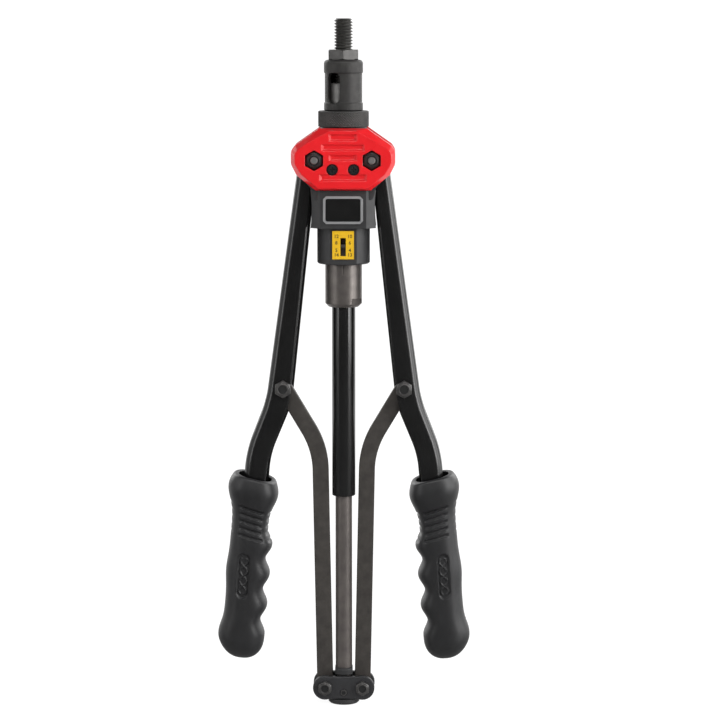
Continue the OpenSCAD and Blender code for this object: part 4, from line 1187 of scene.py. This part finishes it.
@dataclass(frozen=True)
class Fasteners:
    """The nuts and bolts of the pivots, links and yoke, and the cross-head screws of the covers."""

    pivot: Place
    link_bolt: Place
    yoke_bolt: Place
    stud_r: float = 2.35
    link_shank: float = 2.5
    yoke_shank: float = 2.0
    pin_proud: float = 0.5
    hex_sharp: float = 25
    screw_sharp: float = 30
    cross_w: float = 0.5
    cross_flank: float = 0.25
    cross_len: float = 2.1
    cross_end: float = 0.4
    cross_depth: float = 0.9
    dome: float = 0.3
    rim: float = 0.55
    rim_sunk: tuple[float, ...] = (2.0, 0.9, 0.8)
    rim_step: float = 0.1
    screw_middle: float = 0.04
    screw_rows: int = 30
    screw_columns: int = 96

    def ends(self, node: str) -> tuple[float, float, float]:
        """The heights of a node's front and rear ends along Y, and its furthest X."""
        low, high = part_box(node)
        return low.y / MM, high.y / MM, max(abs(low.x), high.x) / MM

    def screw(self, x: float, z: float, radius: float, top: float, way: float) -> Skin:
        """A screw's head: a shallow dome inside a lower rim, with a cross sunk into it by two troughs.

        Args:
            x: The screw's place along X.
            z: Its place along Z.
            radius: The head's radius.
            top: The height of its face along Y.
            way: 1 for a screw that goes in along +Y, or -1.
        Returns:
            The closed skin.
        """
        turn = angles(self.screw_columns)[None, :]
        inner = radius - self.rim
        dome = np.linspace(inner - self.rim_step, self.screw_middle, self.screw_rows)
        rho = np.concatenate([[radius, radius, inner], dome])[:, None]
        across, along = rho * np.cos(turn), rho * np.sin(turn)
        bars = [(1 - smoothstep(np.abs(a), self.cross_w, self.cross_w + self.cross_flank))
                * (1 - smoothstep(np.abs(b), self.cross_len - self.cross_end, self.cross_len))
                for a, b in ((across, along), (along, across))]
        sunk = self.dome * (rho / radius) ** 2 + self.cross_depth * np.maximum(*bars)
        sunk[:len(self.rim_sunk)] = np.array(self.rim_sunk)[:, None]
        return lofted(grid(x + across, top + way * sunk, z + along))

    def build_pivots(self) -> None:
        """Makes the pivots' bolts and locking nuts."""
        front, seat, reach = self.ends("pivot_nuts")
        stud, rear, _ = self.ends("pivot_bolts")
        nut = HexFastener(self.pivot, 2 * (reach - self.pivot[0]))
        bolts = nut.bolt(rear, -seat, stud, self.stud_r).doubled()
        dressed("pivot_lock_nuts", nut.lock_nut(front, seat).doubled(), LOCK_BLACK, "head", ["pivot_nuts"],
                self.hex_sharp)
        dressed("pivot_bolts_turned", bolts, NUT_GREY, "head", ["pivot_bolts"], self.hex_sharp)
        dressed("pivot_nut_inserts", nut.core(front, seat).doubled(), NYLON_AND_SHADE, "head")

    def build_links(self, side: Side) -> None:
        """Makes the bolt and the locking nut where a link hangs on its arm.

        Args:
            side: Which lever they are on.
        """
        name, body = f"{side.label}_link_", f"{side.label}_lever"
        front, rear, reach = self.ends(name + "bolt")
        seat, end, _ = self.ends(name + "nut")
        bolt = HexFastener(self.link_bolt, 2 * (reach - self.link_bolt[0]))
        # A black disc in the bolt head's dimple: painted shade.
        dressed(name + "bolt_core", bolt.core(front, -seat).mirrored(side), NYLON_AND_SHADE, body)
        for node, skin in ((name + "bolt", bolt.bolt(front, -seat, rear, self.link_shank)),
                           (name + "nut", bolt.lock_nut(end, seat))):
            dressed(node + "_turned", skin.mirrored(side), BLACK_FASTENER, body, [node], self.hex_sharp)

    def build_yoke(self) -> None:
        """Makes the yoke's bolts and locking nuts, the painted shade in the dimples of the bolts' heads, and
        a black disc on the middle of its pin.
        """
        front, rear, reach = self.ends("yoke_bolts")
        seat, end, _ = self.ends("yoke_nuts")
        bolt = HexFastener(self.yoke_bolt, 2 * (reach - self.yoke_bolt[0]))
        bolts = bolt.bolt(front, -seat, rear, self.yoke_shank).doubled()
        dressed("yoke_bolts_turned", bolts, BLACK_FASTENER, "yoke", ["yoke_bolts"], self.hex_sharp)
        # Black discs in the dimples of the bolts' heads: painted shade.
        dressed("yoke_bolt_cores", bolt.core(front, -seat).doubled(), NYLON_AND_SHADE, "yoke")
        low, high = (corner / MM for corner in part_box("yoke_pin"))
        pin = HexFastener(((low.x + high.x) / 2, (low.z + high.z) / 2), high.x - low.x)
        # A black disc on the middle of the pin's front end.
        dressed("yoke_pin_core", pin.core(low.y - self.pin_proud, high.y), NYLON_AND_SHADE, "yoke")
        dressed("yoke_lock_nuts", bolt.lock_nut(end, seat).doubled(), BLACK_FASTENER, "yoke", ["yoke_nuts"],
                self.hex_sharp)

    def build_screws(self) -> None:
        """Makes the heads of the covers' screws."""
        for node, way in (("front_screws", 1.0), ("rear_screws", -1.0)):
            low, high = (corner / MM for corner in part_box(node))
            radius = (high.z - low.z) / 2
            top = low.y if way > 0 else high.y
            head = self.screw(high.x - radius, (high.z + low.z) / 2, radius, top, way)
            dressed(node + "_cross", head.doubled(), BLACK_SCREW, "head", [node], self.screw_sharp)

    def build(self) -> None:
        """Makes the fasteners."""
        self.build_pivots()
        for side in Side:
            self.build_links(side)
        self.build_yoke()
        self.build_screws()


@dataclass(frozen=True)
class Markings:
    """The label's bare black field, and the numbers printed on the gauge."""

    frame_w: float = 1.6
    corner: float = 1.8
    field_t: float = 0.4
    proud: float = 0.03
    number_mm: float = 3.1
    bold_mm: float = 0.06
    columns: Pair = (-4.35, 4.35)
    rows: tuple[float, ...] = (5.6, 1.4, -3.4, -6.4)
    numbers: tuple[tuple[str, str], ...] = (("12", "10"), ("8", "6"), ("5", "4"), ("14", "13"))

    def field(self) -> Skin:
        """The field: a thin plate with rounded corners just inside the label's frame.

        Returns:
            The closed skin.
        """
        low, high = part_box("label_plate")
        x, y = high.x / MM - self.frame_w, low.y / MM
        bottom, top = low.z / MM + self.frame_w, high.z / MM - self.frame_w
        corners = ((-x, bottom), (x, bottom), (x, top), (-x, top))
        loop = rounded_loop([(a, b, self.corner) for a, b in corners], steps=7)
        rows = [np.insert(loop, 1, depth, axis=1) for depth in (y - self.proud, y + self.field_t)]
        return lofted(np.stack(rows))

    def number(self, text: str, x: float, y: float, z: float) -> Skin:
        """A printed number, made from the built-in font's flat outlines.

        Args:
            text: The number.
            x: The middle of it along X.
            y: The height of the print along Y.
            z: Its middle along Z.
        Returns:
            The flat skin.
        """
        curve = bpy.data.curves.new("number", "FONT")
        curve.body, curve.size, curve.align_x, curve.align_y = text, self.number_mm, "CENTER", "CENTER"
        curve.offset = self.bold_mm
        drawn = bpy.data.objects.new("number", curve)
        bpy.context.scene.collection.objects.link(drawn)
        bpy.context.view_layer.update()
        mesh = bpy.data.meshes.new_from_object(drawn.evaluated_get(bpy.context.evaluated_depsgraph_get()))
        flat = np.zeros(len(mesh.vertices) * 3)
        mesh.vertices.foreach_get("co", flat)
        flat = flat.reshape(-1, 3)
        faces = [list(face.vertices) for face in mesh.polygons]
        bpy.data.objects.remove(drawn)
        bpy.data.curves.remove(curve)
        bpy.data.meshes.remove(mesh)
        return Skin(np.stack([x + flat[:, 0], np.full(len(flat), y), z + flat[:, 1]], axis=-1), faces)

    def build(self) -> None:
        """Makes the field and the numbers."""
        dressed("label_field", self.field(), LABEL_BLACK, "head")
        low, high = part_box("gauge_scale")
        middle = (low.z + high.z) / MM / 2
        printed = [self.number(text, x, low.y / MM - self.proud, middle + z)
                   for z, texts in zip(self.rows, self.numbers) for x, text in zip(self.columns, texts)]
        joined = printed[0]
        for skin in printed[1:]:
            joined = joined.plus(skin)
        dressed("gauge_numbers", joined, GAUGE_INK, "head")


def dress_frame(frame: dict[str, Any]) -> None:
    """Gives each node of the frame that still shows the finish of its material slot.

    Args:
        frame: The loaded frame.
    """
    finishes = {f.slot: f for f in (
        TOOL_STEEL, BLACK_OXIDE, BRIGHT_STEEL, BRONZE, BLACK_CASTING, RED_GLOSS, BLACK_FASTENER, GUNMETAL,
        GLOSS_BLACK, GREY_STEEL, BLACK_ENAMEL, GRIP_RUBBER, PHOSPHATE_STEEL, LABEL_GREY, GAUGE_YELLOW)}
    # The drive chuck takes the lighter copy of black oxide, which is painted light.
    own = {"drive_chuck": CHUCK_PAINTED_LIGHT, "nose_sleeve": NOSE_OXIDE, "anvil": ANVIL_OXIDE,
           "yoke_front_plate": YOKE_BLACK, "yoke_rear_plate": YOKE_BLACK}
    for part in frame["record"]["subparts"]:
        shown = frame["nodes"][part["node"]]
        if shown.hide_render:
            continue
        for place in shown.material_slots:
            place.material = own.get(part["node"], finishes[part["material_slot"]]).material()


def main() -> None:
    """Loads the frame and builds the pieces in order."""
    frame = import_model()
    Nose().build()
    ReturnSpring().build()
    pivot = joint_place(frame, "right_lever_open")
    link_bolt = joint_place(frame, "right_link_swing")
    yoke_x, yoke_z = joint_place(frame, "yoke_lift")
    yoke_bolt = (-yoke_x, yoke_z)
    for side in Side:
        Lever(side, pivot, link_bolt, yoke_bolt).build()
    Fasteners(pivot, link_bolt, yoke_bolt).build()
    Markings().build()
    dress_frame(frame)
    low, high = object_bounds()
    PhotoCamera().build()
    Studio().build(low, high)


if __name__ == "__main__":
    logging.basicConfig(level=logging.INFO)
    main()
